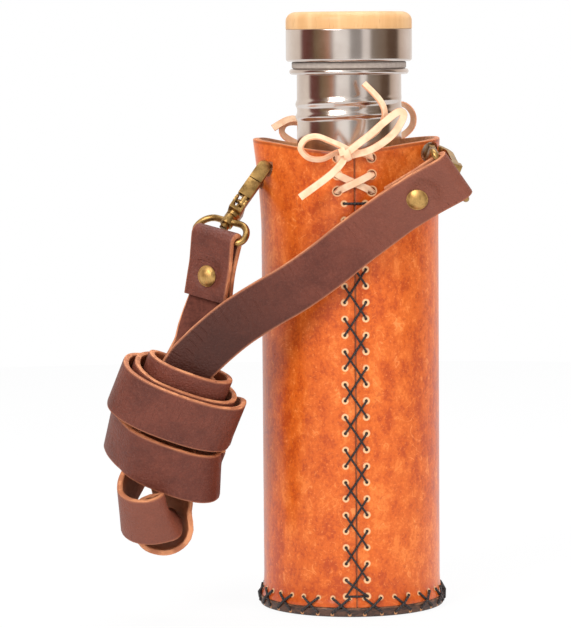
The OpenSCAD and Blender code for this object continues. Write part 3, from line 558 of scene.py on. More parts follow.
def grey_rubber(r):
    dust = r.noise(r.place(), 700, 3, 0.7)
    r.finish(colour=r.mix(dust.between(0.4, 0.7), paint(164, 150, 140), paint(180, 167, 157)),
             rough=0.6 + dust * 0.15, normal=r.bump(dust, 0.03 * MM, 0.4))


def black_plastic(r):
    grain = r.noise(r.place(), 1500, 2)
    r.finish(colour=r.mix(grain.between(0.3, 0.7), paint(40, 40, 42), paint(54, 54, 56)),
             rough=0.48 + grain * 0.1, normal=r.bump(grain, 0.04 * MM, 0.4))


def oiled_bamboo(r):
    place = r.place()
    specks = r.noise(r.stretched(place, (1500, 1500, 160)), 1, 2, 0.7)
    strips = r.noise(r.stretched(place, (260, 60, 10)), 1, 3, 0.6)
    glow = r.noise(r.stretched(place, (90, 90, 30)), 1, 2)
    colour = r.mix(strips.between(0.35, 0.65), paint(214, 162, 106), colours().bamboo)
    colour = r.mix(glow.between(0.4, 0.7) * 0.5, colour, paint(232, 192, 142))
    colour = r.mix(specks.between(0.60, 0.72) * 0.45, colour, paint(176, 116, 58))
    r.finish(colour=colour, rough=0.42 + specks * 0.15, normal=r.bump(strips + specks, 0.04 * MM, 0.4),
             coat=0.12, coat_rough=0.3)


# For each look: its material's name, the function that makes it and the values which that one takes
LOOKS = {
    "tan_leather": ("tan_leather_grain", tan_leather),
    "flesh": ("tan_leather_flesh", bare_leather, paint(214, 150, 100), paint(170, 104, 62)),
    "cut": ("tan_leather_cut", bare_leather, paint(206, 128, 76), paint(164, 88, 46), 0.2),
    "strap": ("brown_leather_grain", strap_leather),
    "strap_cut": ("brown_leather_cut", strap_cut),
    "suede": ("brown_leather_suede", strap_flesh),
    "lace": ("pale_lace_leather", lace_leather),
    "lace_cut": ("pale_lace_cut", bare_leather, paint(226, 164, 124), paint(212, 142, 104), 0.1),
    "thread": ("waxed_thread_twist", waxed_thread),
    "base": ("dark_leather_edge", edge_leather),
    "brass": ("antique_brass_patina", antique_brass),
    "cap_brass": ("brass_cap_polished", antique_brass, 1.5, 0.42),
    "spring": ("spring_steel_wire", antique_brass, 1.3, 0.3),
    "steel": ("bottle_steel_spun", spun_steel),
    "rubber": ("grey_silicone_matt", grey_rubber),
    "plastic": ("black_plastic_matt", black_plastic),
    "bamboo": ("bamboo_oiled", oiled_bamboo),
}


def look(name):
    """The material of that name, made once."""
    for material in bpy.data.materials:
        if material.get("carrier_look") == name:
            return material
    full_name, maker, *settings = LOOKS[name]
    material, r = new_recipe(full_name)
    maker(r, *settings)
    material["carrier_look"] = name
    return material


# Modelling by hand

def only(piece):
    """Leaves this piece alone selected and active, or nothing selected."""
    if bpy.context.object and bpy.context.object.mode != "OBJECT":
        bpy.ops.object.mode_set(mode="OBJECT")
    bpy.ops.object.select_all(action="DESELECT")
    if piece:
        piece.select_set(True)
        bpy.context.view_layer.objects.active = piece


def edit_all(piece):
    """Opens a piece in edit mode with all of it selected."""
    only(piece)
    bpy.ops.object.mode_set(mode="EDIT")
    bpy.ops.mesh.select_all(action="SELECT")


def face_outwards():
    """Turns all faces of the piece in edit mode outwards and leaves edit mode."""
    bpy.ops.mesh.select_all(action="SELECT")
    bpy.ops.mesh.normals_make_consistent(inside=False)
    bpy.ops.object.mode_set(mode="OBJECT")


def close_up(piece, merge=0.0005 * MM):
    """Merges doubles and turns all faces outwards."""
    edit_all(piece)
    bpy.ops.mesh.remove_doubles(threshold=merge)
    face_outwards()


def smooth_look(piece, angle=35):
    only(piece)
    bpy.ops.object.shade_smooth_by_angle(angle=math.radians(angle), keep_sharp_edges=False)


def with_modifier(piece, kind, **settings):
    """Adds a modifier and applies it."""
    only(piece)
    modifier = piece.modifiers.new(kind.title(), kind)
    for key, value in settings.items():
        setattr(modifier, key, value)
    bpy.ops.object.modifier_apply(modifier=modifier.name)


def skin(name, rows, maps, looks, slots=None):
    """A grid whose points are put on rows of places, with flat maps in metres."""
    only(None)
    down = len(rows)
    wide = len(rows[0])
    bpy.ops.mesh.primitive_grid_add(x_subdivisions=wide - 1, y_subdivisions=down - 1, size=1)
    piece = bpy.context.object
    piece.name = name
    mesh = piece.data
    mesh.name = name
    mesh.vertices.foreach_set("co", [c for row in rows for p in row for c in p])
    corner_points = [0] * len(mesh.loops)
    mesh.loops.foreach_get("vertex_index", corner_points)
    for number, (map_name, map_rows) in enumerate(maps.items()):
        layer = mesh.uv_layers[0] if number == 0 else mesh.uv_layers.new(name=map_name)
        layer.name = map_name
        flat = [p for row in map_rows for p in row]
        layer.data.foreach_set("uv", [c for i in corner_points for c in flat[i]])
    for name_of_look in looks:
        mesh.materials.append(look(name_of_look))
    if slots:
        mesh.polygons.foreach_set(
            "material_index", [slots[i % (wide - 1)] for i in range(len(mesh.polygons))])
    mesh.update()
    return piece


def worn(piece, body, node):
    """Puts the piece on its body's empty and hides the node that it stands for."""
    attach(piece, body)
    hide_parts(node)
    return piece


def refined(node, body, round_by, angle=32):
    """A copy of a brass node with its edges rounded."""
    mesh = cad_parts[node].data.copy()
    mesh.materials.clear()
    mesh.materials.append(look("brass"))
    piece = bpy.data.objects.new(node + "_finished", mesh)
    bpy.context.scene.collection.objects.link(piece)
    edit_all(piece)
    bpy.ops.mesh.customdata_custom_splitnormals_clear()
    bpy.ops.mesh.remove_doubles(threshold=0.002 * MM)
    bpy.ops.mesh.dissolve_limited(angle_limit=math.radians(0.6))
    face_outwards()
    with_modifier(piece, "BEVEL", width=round_by * MM, segments=2, limit_method="ANGLE",
                  angle_limit=math.radians(angle), harden_normals=False)
    smooth_look(piece, angle)
    return worn(piece, body, node)


def dress(node, look_name):
    """Gives a carried-over node its finish."""
    carried_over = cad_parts[node]
    if not carried_over.material_slots:
        carried_over.data.materials.append(None)
    for slot in carried_over.material_slots:
        slot.material = look(look_name)


def unit(v):
    return Vector(v).normalized()


def across_of(v, t):
    """The part of v that is square to t, as a unit vector."""
    v = Vector(v)
    return (v - v.dot(t) * t).normalized()


# Sleeve surface

def rim_at(az):
    """Height of the sleeve's rim."""
    s = abs(math.sin(math.radians(az - FRONT_AZ)))
    behind = math.cos(math.radians(az - FRONT_AZ + 90)) < 0
    return RIM_Z + RIM_RISE * (s if behind else s * s)


def ear_pull(az, ear_az):
    """How far an ear's pull reaches, from 1 at its middle."""
    return math.exp(-(((az - ear_az + 180) % 360 - 180) / EAR_SPREAD) ** 2)


def sleeve_at(az, z):
    """Radius of the sleeve's outer surface, with its flared foot and its pulled ears."""
    foot = FOOT_FLARE * max(0, 1 - (z - BASE_T) / FOOT_H) ** 2
    share = max(0, (z - EAR_START_Z) / (rim_at(az) - EAR_START_Z)) ** EAR_EASE
    pulled = ear_pull(az, LEFT_EAR_AZ) + RIGHT_EAR_SHARE * ear_pull(az, RIGHT_EAR_AZ)
    return SLEEVE_R + foot + share * EAR_PULL * pulled


def on_sleeve(az, z, h):
    """A place in metres, at a height z and a distance h outside the sleeve's surface."""
    r = sleeve_at(az, z) + h
    turn = math.radians(az)
    return Vector((r * math.cos(turn), r * math.sin(turn), z)) * MM


def outward(az):
    return Vector((math.cos(math.radians(az)), math.sin(math.radians(az)), 0))


def aside_of_seam(az, side, offset):
    """Angle of a place at an offset to one side of a seam."""
    return az + side * math.degrees(math.asin(offset / SLEEVE_R))


# Snaps and strap ends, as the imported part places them

LEFT_DIR = unit((0.51, 0.5, 0.7))
LEFT_GATE_DIR = across_of((0.15, -0.85, 0.5), LEFT_DIR)
LEFT_BAR_DIR = across_of((0.81, -0.55, -0.19), LEFT_DIR)
RIGHT_DIR = unit((-0.09, 0.966, 0.243))
RIGHT_GATE_DIR = across_of((-0.93, -0.175, 0.33), RIGHT_DIR)
RIGHT_BAR_DIR = across_of((0.55, 0.2, -0.79), RIGHT_DIR)
RING_R = (GATE_SIDE + SPINE_SIDE) / 2
RING_MIDDLE = (GATE_SIDE - SPINE_SIDE) / 2
# Where the left hook's ring and the right hook's nose go through the leather
LEFT_LINK_AZ = 206.5
LEFT_LINK_Z = 198.5
LEFT_LINK_TURN = math.radians(40)
RIGHT_NOSE_AZ = 328
RIGHT_NOSE_Z = 204
LEFT_BAR = on_sleeve(LEFT_LINK_AZ, LEFT_LINK_Z, -LEATHER_T / 2) / MM \
    - (RING_MIDDLE + RING_R * math.cos(LEFT_LINK_TURN)) * LEFT_GATE_DIR \
    - (BEND_REACH + RING_R * math.sin(LEFT_LINK_TURN)) * LEFT_DIR
RIGHT_BAR = on_sleeve(RIGHT_NOSE_AZ, RIGHT_NOSE_Z, -LEATHER_T / 2) / MM \
    - GATE_SIDE * RIGHT_GATE_DIR - (BEND_REACH - HOOK_T) * RIGHT_DIR
LEFT_STRAP_DIR = across_of((-0.13, 0.08, -0.985), LEFT_BAR_DIR)
LEFT_STRAP_OUT = LEFT_STRAP_DIR.cross(LEFT_BAR_DIR)
RIGHT_STRAP_DIR = across_of((-0.79, 0.24, -0.53), RIGHT_BAR_DIR)
RIGHT_STRAP_OUT = RIGHT_BAR_DIR.cross(RIGHT_STRAP_DIR)


def snap_frame(side):
    """Matrix of a snap: its flat side, its gate side and its length, from the eye's bar."""
    if side == "left":
        bar, gate, way = LEFT_BAR, LEFT_GATE_DIR, LEFT_DIR
    else:
        bar, gate, way = RIGHT_BAR, RIGHT_GATE_DIR, RIGHT_DIR
    turned = Matrix((gate.cross(way), gate, way)).transposed().to_4x4()
    return Matrix.Translation(bar * MM) @ turned


# Curves through given points

def bend_point(p, i, f):
    a = p[max(i - 1, 0)]
    b = p[i]
    c = p[min(i + 1, len(p) - 1)]
    d = p[min(i + 2, len(p) - 1)]
    return 0.5 * (2 * b + (c - a) * f + (2 * a - 5 * b + 4 * c - d) * f * f
                  + (3 * b - a - 3 * c + d) * f * f * f)


def smooth_line(points, steps):
    line = [bend_point(points, i, k / steps) for i in range(len(points) - 1) for k in range(steps)]
    return line + [points[-1]]


def tangent(p, i):
    return (p[min(i + 1, len(p) - 1)] - p[max(i - 1, 0)]).normalized()


def lengths_along(line):
    run = [0.0]
    for i in range(1, len(line)):
        run.append(run[-1] + (line[i] - line[i - 1]).length)
    return run


def swept(name, line, sides, section, flat_across, looks, slots, angle):
    """A closed sweep: section holds pairs, aside and outwards, and flat_across their places on the map."""
    ring = section + section[:1]
    rows = [[point + a * side + b * out for a, b in ring] for point, (side, out) in zip(line, sides)]
    flat = [[(run, g) for g in flat_across] for run in lengths_along(line)]
    rows = [[line[0]] * len(ring)] + rows + [[line[-1]] * len(ring)]
    flat = [flat[0]] + flat + [flat[-1]]
    piece = skin(name, rows, {"UVMap": flat}, looks, slots)
    close_up(piece)
    smooth_look(piece, angle)
    return piece


def tube(name, line, normals, section, looks, slots=None):
    """A thread or thong, whose flat map goes round its section."""
    girth = [0.0]
    for a, b in zip(section, section[1:] + section[:1]):
        girth.append(girth[-1] + math.dist(a, b))
    sides = []
    for i, normal in enumerate(normals):
        out = across_of(normal, tangent(line, i))
        sides.append((out.cross(tangent(line, i)), out))
    return swept(name, line, sides, section, [g - girth[-1] / 2 for g in girth], looks, slots, 40)


def carried(line, first):
    """Normals along a line, each the last one turned as little as the line allows."""
    normals = [across_of(first, tangent(line, 0))]
    for i in range(1, len(line)):
        normals.append(across_of(normals[-1], tangent(line, i)))
    return normals


def oval(half_w, half_t, sides=8):
    turns = [2 * math.pi * (k + 0.5) / sides for k in range(sides)]
    return [(half_w * math.cos(a), half_t * math.sin(a)) for a in turns]


# Turned pieces

def lathe(name, profile, looks, sides=160, ridge=None):
    """A turned piece: profile holds pairs of radius and height, and ridge adds to the radius."""
    rows, flat = [], []
    run = 0
    for i, (radius, height) in enumerate(profile):
        if i:
            run += math.dist(profile[i - 1], profile[i])
        row, flat_row = [], []
        for k in range(sides + 1):
            turn = 2 * math.pi * k / sides
            r = radius + (ridge(turn, radius, height) if ridge else 0)
            row.append(Vector((r * math.cos(turn), r * math.sin(turn), height)) * MM)
            flat_row.append((turn * max(radius, 1) * MM, run * MM))
        rows.append(row)
        flat.append(flat_row)
    piece = skin(name, rows, {"UVMap": flat}, looks)
    close_up(piece, 0.005 * MM)
    smooth_look(piece, 35)
    return piece


def arc(cx, cz, r, start, end, steps):
    turns = [math.radians(start + (end - start) * i / steps) for i in range(steps + 1)]
    return [(cx + r * math.cos(a), cz + r * math.sin(a)) for a in turns]


# Sleeve

PANEL_COLUMNS = 120
PANEL_ROWS = 100
PANEL_FOOT_Z = BASE_T + REST_GAP / 3


def panel_piece(name, start_az):
    """A half panel with its thickness, before its holes are punched."""
    half_turn = math.degrees(math.asin(BUTT_GAP / 2 / SLEEVE_R))
    span = 180 - 2 * half_turn
    rows, flat, edges = [], [], []
    reach = math.radians(span) * SLEEVE_R * MM
    for j in range(PANEL_ROWS + 1):
        share = j / PANEL_ROWS
        row, flat_row, edge_row = [], [], []
        for c in range(PANEL_COLUMNS + 1):
            az = start_az + half_turn + span * c / PANEL_COLUMNS
            z = PANEL_FOOT_Z + (rim_at(az) - PANEL_FOOT_Z) * share
            along = reach * c / PANEL_COLUMNS
            row.append(on_sleeve(az, z, 0))
            flat_row.append((along, z * MM))
            edge_row.append((min(along, reach - along) + BUTT_GAP / 2 * MM, (rim_at(az) - z) * MM))
        rows.append(row)
        flat.append(flat_row)
        edges.append(edge_row)
    piece = skin(name, rows, {"UVMap": flat, "Edges": edges}, ["tan_leather", "flesh", "cut"])
    with_modifier(piece, "SOLIDIFY", thickness=LEATHER_T * MM, offset=-1, use_even_offset=True,
                  material_offset=1, material_offset_rim=2)
    with_modifier(piece, "BEVEL", width=sizes().edge_round, segments=2, limit_method="ANGLE",
                  angle_limit=math.radians(50))
    return piece


def punch(name, place, along, radius, depth, sides):
    """A round punch whose middle is at place."""
    only(None)
    bpy.ops.mesh.primitive_cylinder_add(vertices=sides, radius=radius, depth=depth)
    tool = bpy.context.object
    tool.name = name
    turn = ALONG_Z.rotation_difference(along).to_matrix().to_4x4()
    tool.data.transform(Matrix.Translation(place) @ turn)
    tool.data.materials.append(look("cut"))
    return tool


def joined(tools):
    only(tools[0])
    for tool in tools:
        tool.select_set(True)
    bpy.ops.object.join()
    return bpy.context.object


def cut_with(piece, tool):
    only(piece)
    modifier = piece.modifiers.new("Punched", "BOOLEAN")
    modifier.operation = "DIFFERENCE"
    modifier.solver = "EXACT"
    modifier.object = tool
    modifier.material_mode = "TRANSFER"
    bpy.ops.object.modifier_apply(modifier=modifier.name)
    bpy.data.objects.remove(tool)


def seam_punches(az, side):
    """The stitch holes and the lace holes at one side of a seam."""
    stitches = ("stitch_punch", STITCH_COUNT, STITCH_FOOT_Z, STITCH_PITCH, STITCH_OFFSET)
    laces = ("lace_punch", LACE_COUNT, LACE_TOP_Z, -LACE_PITCH, LACE_OFFSET)
    tools = []
    for (name, count, first_z, pitch, offset), radius, facets in (
            (stitches, sizes().stitch_hole / 2, 8), (laces, LACE_HOLE_D / 2 * MM, 20)):
        a = aside_of_seam(az, side, offset)
        for row in range(count):
            middle = on_sleeve(a, first_z + row * pitch, -LEATHER_T / 2)
            tools.append(punch(name, middle, outward(a), radius, 3 * LEATHER_T * MM, facets))
    return tools


def ear_punches(side):
    """The three cuts of an ear hole: the nose's, the spine's and the bend's."""
    turned = snap_frame(side)
    nose_r = math.hypot(SNAP_W, HOOK_T) / 2 + EAR_HOLE_CLEAR
    ring_r = math.hypot(BEND_W, HOOK_T) / 2 + EAR_HOLE_CLEAR
    low = GATE_TIP_REACH - HOOK_T
    tools = []
    for aside, radius, high in ((GATE_SIDE, nose_r, BEND_REACH + SNAP_W / 2),
                                (-SPINE_SIDE, ring_r, BEND_REACH)):
        tool = punch("ear_punch", Vector((0, aside, (low + high) / 2)) * MM, ALONG_Z,
                     radius * MM, (high - low) * MM, 32)
        tool.data.transform(turned)
        tools.append(tool)
    only(None)
    bpy.ops.mesh.primitive_circle_add(vertices=24, radius=ring_r * MM, fill_type="NGON")
    bend = bpy.context.object
    bend.data.transform(Matrix.Translation(Vector((0, GATE_SIDE, BEND_REACH)) * MM))
    edit_all(bend)
    bpy.ops.mesh.spin(steps=24, angle=math.pi, center=Vector((0, RING_MIDDLE, BEND_REACH)) * MM,
                      axis=(1, 0, 0))
    face_outwards()
    bend.data.materials.append(look("cut"))
    bend.data.transform(turned)
    return tools + [bend]


class CARRIER_OT_panels(bpy.types.Operator):
    """Model the two half panels of the sleeve, with their punched holes"""
    bl_idname = "carrier.panels"
    bl_label = "Sleeve panels"

    def execute(self, context):
        for side, start, end in (("left", BACK_AZ, FRONT_AZ), ("right", FRONT_AZ, BACK_AZ)):
            piece = panel_piece(side + "_panel_leather", start)
            cut_with(piece, joined(seam_punches(start, 1) + seam_punches(end, -1)))
            for tool in ear_punches(side):
                cut_with(piece, tool)
            if len(piece.data.polygons) < PANEL_COLUMNS * PANEL_ROWS:
                raise RuntimeError(piece.name + " lost its leather when it was punched")
            smooth_look(piece, 35)
            worn(piece, "sleeve", side + "_panel")
        return {"FINISHED"}


class CARRIER_OT_base(bpy.types.Operator):
    """Model the round base disc with its rounded edge"""
    bl_idname = "carrier.base"
    bl_label = "Base disc"

    def execute(self, context):
        only(None)
        bpy.ops.mesh.primitive_cylinder_add(vertices=144, radius=BASE_R * MM, depth=BASE_T * MM,
                                            location=(0, 0, BASE_T / 2 * MM))
        piece = bpy.context.object
        piece.name = "base_disc_leather"
        bpy.ops.object.transform_apply(location=True, rotation=True, scale=True)
        with_modifier(piece, "BEVEL", width=BASE_ROUND * MM, segments=3, limit_method="ANGLE",
                      angle_limit=math.radians(50))
        piece.data.materials.append(look("base"))
        smooth_look(piece, 40)
        worn(piece, "sleeve", "base_disc")
        return {"FINISHED"}


# Threads

STITCH_DEPTH = LEATHER_T + 0.22
STITCH_LIFT = 0.33
STITCH_OVER = 1.43


def seam_route(az, row, steps, side=1):
    """Points of a seam's thread: steps holds places aside, in shares, rows down and heights."""
    points = []
    for share, down, h in steps:
        z = STITCH_FOOT_Z + (STITCH_COUNT - 1 - row - down) * STITCH_PITCH
        points.append(on_sleeve(aside_of_seam(az, share * side, STITCH_OFFSET), z, h))
    return points


def stroke(az, row):
    """A strand from a hole down to the one two rows lower at the other side."""
    even = row % 2 == 0
    over = STITCH_LIFT if even else STITCH_OVER
    return seam_route(az, row, (
        (1, 0, -STITCH_DEPTH), (1, 0.02, 0), (0.72, 0.28, over), (0.28, 0.72, over),
        (-0.28, 1.28, over), (-0.72, 1.72, over), (-1, 1.98, 0), (-1, 2, -STITCH_DEPTH)),
        1 if even else -1)


def base_cross(az):
    """A cross of the base thread: down one strand, through the disc's edge and up the other."""
    half = math.degrees(math.asin(BASE_CROSS_W / 2 / SLEEVE_R))
    a, b = az - half, az + half
    lift = 0.495
    over = 2.9 * lift
    meeting_z = BASE_T + 1.1
    groove_z = 0.682
    inset = 2.42

    def edge(turn, h, z):
        return Vector(((BASE_R + h) * math.cos(math.radians(turn)),
                       (BASE_R + h) * math.sin(math.radians(turn)), z)) * MM
    return [on_sleeve(a, BASE_HOLE_Z, -STITCH_DEPTH), on_sleeve(a, BASE_HOLE_Z, lift),
            on_sleeve(az, meeting_z, lift), edge(b, lift, BASE_T / 2),
            edge(b, -inset / 2, groove_z), edge(b, -inset, groove_z),
            edge(a, -inset, groove_z), edge(a, -inset / 2, groove_z),
            edge(a, lift, BASE_T / 2), on_sleeve(az, meeting_z, over),
            on_sleeve(b, BASE_HOLE_Z, lift), on_sleeve(b, BASE_HOLE_Z, -STITCH_DEPTH)]


class CARRIER_OT_threads(bpy.types.Operator):
    """Model the waxed threads of both seams and of the base"""
    bl_idname = "carrier.threads"
    bl_label = "Threads"

    def execute(self, context):
        half = sizes().thread_width / 2
        for name, az in (("front_seam_thread", FRONT_AZ), ("back_seam_thread", BACK_AZ)):
            bar = ((-0.97, 0, 0), (0, 0, STITCH_LIFT), (0.97, 0, 0))
            route = seam_route(az, 0, ((-1, 0, -STITCH_DEPTH),) + bar)
            for row in range(STITCH_COUNT - 2):
                route += stroke(az, row)
            # The last cross goes back up from a bar at the foot
            route += seam_route(az, STITCH_COUNT - 1, bar + (
                (1, 0, -STITCH_DEPTH), (1, -0.02, 0), (0.56, -0.22, STITCH_OVER),
                (-0.56, -0.78, STITCH_OVER), (-1, -0.98, 0), (-1, -1, -STITCH_DEPTH)))
            piece = tube(name + "_waxed", route, carried(route, outward(az)),
                         oval(half, half * 0.84), ["thread"])
            worn(piece, "sleeve", name)
        pitch = 360 / BASE_CROSSES
        route = [p for i in range(BASE_CROSSES) for p in base_cross(FRONT_AZ + pitch * (i + 0.5))]
        piece = tube("base_thread_waxed", route, carried(route, ALONG_Z), oval(half, half), ["thread"])
        worn(piece, "sleeve", "base_thread")
        return {"FINISHED"}


# Laces

FRONT_IN = ((-24, -45.5, 185), (-11, -46, 194.5), (-5.8, -46.6, 200), (-4.3, -46.9, 203.2),
            (0, -46.6, 207), (6, -46, 211.5), (13, -45.6, 217.5), (19, -46, 221.7), (21, -46, 219.6),
            (16.5, -45.2, 212), (7.5, -44.6, 205.6), (-1.5, -44.4, 203), (-5.6, -43.4, 201.6))
FRONT_OUT = ((4, -42.3, 203.4), (-2, -42.8, 205.2), (-10, -43.2, 208.8), (-16.5, -44.5, 211.2),
             (-21.5, -44.5, 210), (-23.5, -44, 206), (-20, -43.5, 202), (-14, -43.2, 201.4),
             (-8.5, -42.6, 204), (-3, -41, 205.4), (3, -41.2, 208.8), (9.5, -42, 213),
             (13, -43.2, 220), (11, -43.3, 226.5), (4, -42.5, 234))
BACK_IN = ((-13, -44.5, 181), (-10, -45, 190), (-5.8, -46.4, 199), (-4.3, -46.9, 203.2),
           (0, -46.2, 206.4), (8, -43.4, 210.4), (19, -39.8, 215), (27, -36, 215), (28.5, -34.6, 210),
           (20, -39, 205), (8, -43.4, 204), (-1.5, -44.4, 203), (-5.6, -43.4, 201.6))
BACK_OUT = ((4, -42.3, 203.4), (-2, -42.8, 205.2), (-8, -42.2, 211), (-16, -40.5, 218),
            (-25.5, -39, 223.3), (-31, -39, 219.5), (-31, -40, 213), (-25, -41, 207.8),
            (-15, -42.4, 204.6), (-8.5, -42.4, 204), (-3, -41, 205.4), (3, -41.2, 208.8),
            (13, -39.5, 213.5), (24, -35.5, 217), (33, -32, 213))


def thong_section(half_w, half_t):
    """A flat thong with its corners taken off."""
    c = half_t * 0.3
    quarter = [(half_w, 0), (half_w, half_t - c), (half_w - c, half_t), (0, half_t)]
    upper = quarter + [(-x, y) for x, y in reversed(quarter[:-1])]
    return upper + [(x, -y) for x, y in reversed(upper[1:-1])]


THONG_LOOKS = ["lace", "lace_cut"]
# Look of each face round the section: 1 the cut edges and their corners, 0 the flat sides
THONG_SLOTS = (1, 1, 0, 0, 1, 1, 1, 1, 0, 0, 1, 1)
KNOT_MIDDLE = Vector((-4.4, -44.5, 203.3))
KNOT_ALONG = unit((1, 0, 0.4))
KNOT_UP = unit((-0.4, 0, 1))
KNOT_DEPTH = 3.4
KNOT_HEIGHT = 2.8
KNOT_SLIP = 1.6
KNOT_STEPS = 18
KNOT_STEP_TURN = 22


def knot_wrap(turned):
    """The turn of lace that holds the bow together, and its normals."""
    line, normals = [], []
    for i in range(KNOT_STEPS + 1):
        turn = math.radians(KNOT_STEP_TURN * i)
        front, up = math.cos(turn) * Vector((0, -1, 0)), math.sin(turn) * KNOT_UP
        at = KNOT_MIDDLE + KNOT_DEPTH * front + KNOT_HEIGHT * up \
            + (i / KNOT_STEPS - 0.5) * KNOT_SLIP * KNOT_ALONG
        line.append(turned @ at * MM)
        normals.append(turned @ (front + up))
    return line, normals


def lacing_sides(route, az):
    """Thin way of the lace at each point, so that it lies flat on the leather and in its holes."""
    out = outward(az)
    sides = []
    for i in range(len(route)):
        way = tangent(route, i)
        near = [tangent(route, max(0, min(len(route) - 1, i + k))) for k in (-2, -1, 1, 2)]
        flat = unit(sum((t - t.dot(out) * out for t in near), Vector()))
        sides.append(unit(out * way.dot(flat) - flat * way.dot(out)))
    return sides


def lacing(az, thick):
    """Strands through the three pairs of holes, one over the other where they cross."""
    inside = -LEATHER_T - thick / 2 + LACE_PRESS
    out = thick / 2 + 0.1
    over = out + 1.15 * thick
    # Each step is a place aside, in shares of the holes' offset, rows down from the top and a height
    steps = ((-1, 0, 2 * out), (-1, 0, 0), (-1, 0.15, inside), (-1, 0.85, inside), (-1, 1, 0),
             (-0.8, 1.1, out), (0, 1.5, out), (0.8, 1.9, out), (1, 2, 0), (0.8, 2.05, inside),
             (0, 2.1, inside), (-0.8, 2.05, inside), (-1, 2, 0), (-0.8, 1.9, out), (-0.4, 1.7, over),
             (0, 1.5, over), (0.4, 1.3, over), (0.8, 1.1, out), (1, 1, 0), (1, 0.85, inside),
             (1, 0.15, inside), (1, 0, 0), (1, -0.05, 1.8 * out))
    return [on_sleeve(aside_of_seam(az, side, LACE_OFFSET), LACE_TOP_Z - row * LACE_PITCH, h)
            for side, row, h in steps]


class CARRIER_OT_laces(bpy.types.Operator):
    """Model the two laces, each one thong from tail to tail"""
    bl_idname = "carrier.laces"
    bl_label = "Laces"

    def execute(self, context):
        thick = sizes().lace_thickness
        section = thong_section(sizes().lace_width / 2, thick / 2)
        for name, az, first, last, turn in (
                ("front_lace", FRONT_AZ, FRONT_IN, FRONT_OUT, SEAM_TURN),
                ("back_lace", BACK_AZ, BACK_IN, BACK_OUT, 180 + SEAM_TURN)):
            turned = Matrix.Rotation(math.radians(turn), 3, "Z")
            tail_in, tail_out = [smooth_line([turned @ Vector(p) * MM for p in points], 6)
                                 for points in (first, last)]
            drawn = lacing(az, thick / MM)
            route = tail_in + drawn + tail_out
            normals = carried(route, outward(az))
            # The first and last two points of the lacing turn over into the tails
            for i, side in list(enumerate(lacing_sides(drawn, az)))[2:-2]:
                normals[len(tail_in) + i] = side
            piece = tube(name + "_thong", route, normals, section, THONG_LOOKS, THONG_SLOTS)
            knot = tube(name + "_knot", *knot_wrap(turned), section, THONG_LOOKS, THONG_SLOTS)
            worn(joined([piece, knot]), "sleeve", name)
        return {"FINISHED"}


# Shoulder strap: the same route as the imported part's

BUNDLE_MIDDLE = Vector((-78, -40, 96))
BUNDLE_UP = unit((0.36, -0.27, 0.89))
BUNDLE_RIGHT = across_of((1, 0, 0), BUNDLE_UP)
BUNDLE_BACK = BUNDLE_UP.cross(BUNDLE_RIGHT)
FRONT_RUN = (
    ((12, -49.5, 173.5), (0.62, 0.2, -0.76)), ((0, -47.5, 164.5), (0.62, 0.16, -0.77)),
    ((-12, -47, 155), (0.59, 0.13, -0.8)), ((-25, -47, 146), (0.53, 0.1, -0.84)),
    ((-38, -47, 138.5), (0.5, 0.09, -0.86)), ((-50, -47.5, 131), (0.56, 0.08, -0.83)),
    ((-60, -47.5, 123), (0.65, 0.08, -0.75)), ((-68, -47, 115.5), (0.75, 0.08, -0.65)))
DROP_RUN = (
    ((0.5, -1.5, 19.5), (0.95, -0.1, -0.3)), ((-0.5, -2, 13.5), (1, -0.05, -0.1)),
    ((0, -3, 7.5), (0.93, -0.05, 0.35)), ((3.5, -4, 3.5), (0.5, -0.15, 0.85)),
    ((9, -3.5, 2), (0.15, -0.2, 0.97)))
TURN_LAST = 1440
TURN_STEP = 15
TURN_WIDE = ((0, 14.5), (1080, 28.5), (1215, 28), (1275, 23), (1440, 23))
TURN_DEEP = ((0, 7.6), (1170, 20.2), (1215, 20.2), (1290, 17), (1440, 17.5))
TURN_HEIGHT = ((0, 2), (200, 8), (340, 8), (600, 0.5), (1080, 0), (1225, -24), (1440, -25))
TURN_SHIFT = ((0, 0), (1185, 0), (1290, 6.5), (1440, 6.5))
TURN_LEAN = ((0, 0), (1185, 0), (1290, 0.3), (1440, 0.3))
TURN_FULLNESS = 0.85
LOOP_RUN = (
    ((-63, -27, 67.5), (0.2, -0.4, 0.89)),
    ((-70, -24, 71.5), (0.22, -0.47, 0.84)), ((-78, -22, 75), (0.09, -0.59, 0.8)),
    ((-85, -22, 74.5), (-0.13, -0.67, 0.73)), ((-91.5, -24, 69.5), (-0.27, -0.74, 0.61)),
    ((-96.5, -29, 61), (-0.22, -0.74, 0.63)), ((-100.5, -36.5, 53.5), (-0.12, -0.61, 0.78)),
    ((-101, -44.5, 48), (-0.02, -0.52, 0.85)), ((-96, -50, 45), (0, -0.44, 0.9)),
    ((-88.5, -52, 44.5), (-0.07, -0.37, 0.93)), ((-82, -50, 46), (-0.22, -0.28, 0.94)),
    ((-81, -45, 47), (-0.45, -0.31, 0.84)), ((-83, -40, 48.5), (-0.63, -0.5, 0.6)),
    ((-86.5, -36, 48.5), (-0.69, -0.66, 0.3)), ((-90, -33, 44.5), (-0.63, -0.78, -0.04)),
    ((-91, -31.5, 38.5), (-0.4, -0.9, -0.17)), ((-89, -31, 33), (-0.17, -0.97, -0.16)),
    ((-83.5, -31, 30.5), (0.02, -0.99, -0.12)), ((-78, -31, 32), (0.14, -0.99, -0.07)),
    ((-74.5, -30.5, 37), (0.28, -0.96, 0)), ((-76.5, -28, 45), (0.5, -0.86, 0.1)),
    ((-79.5, -28.5, 54), (0.8, -0.59, 0.1)), ((-80, -30.5, 64), (0.87, -0.47, 0.13)),
    ((-79.8, -33.5, 74), (0.94, -0.18, 0.27)), ((-83, -34, 84), (0.99, 0.13, 0.08)))
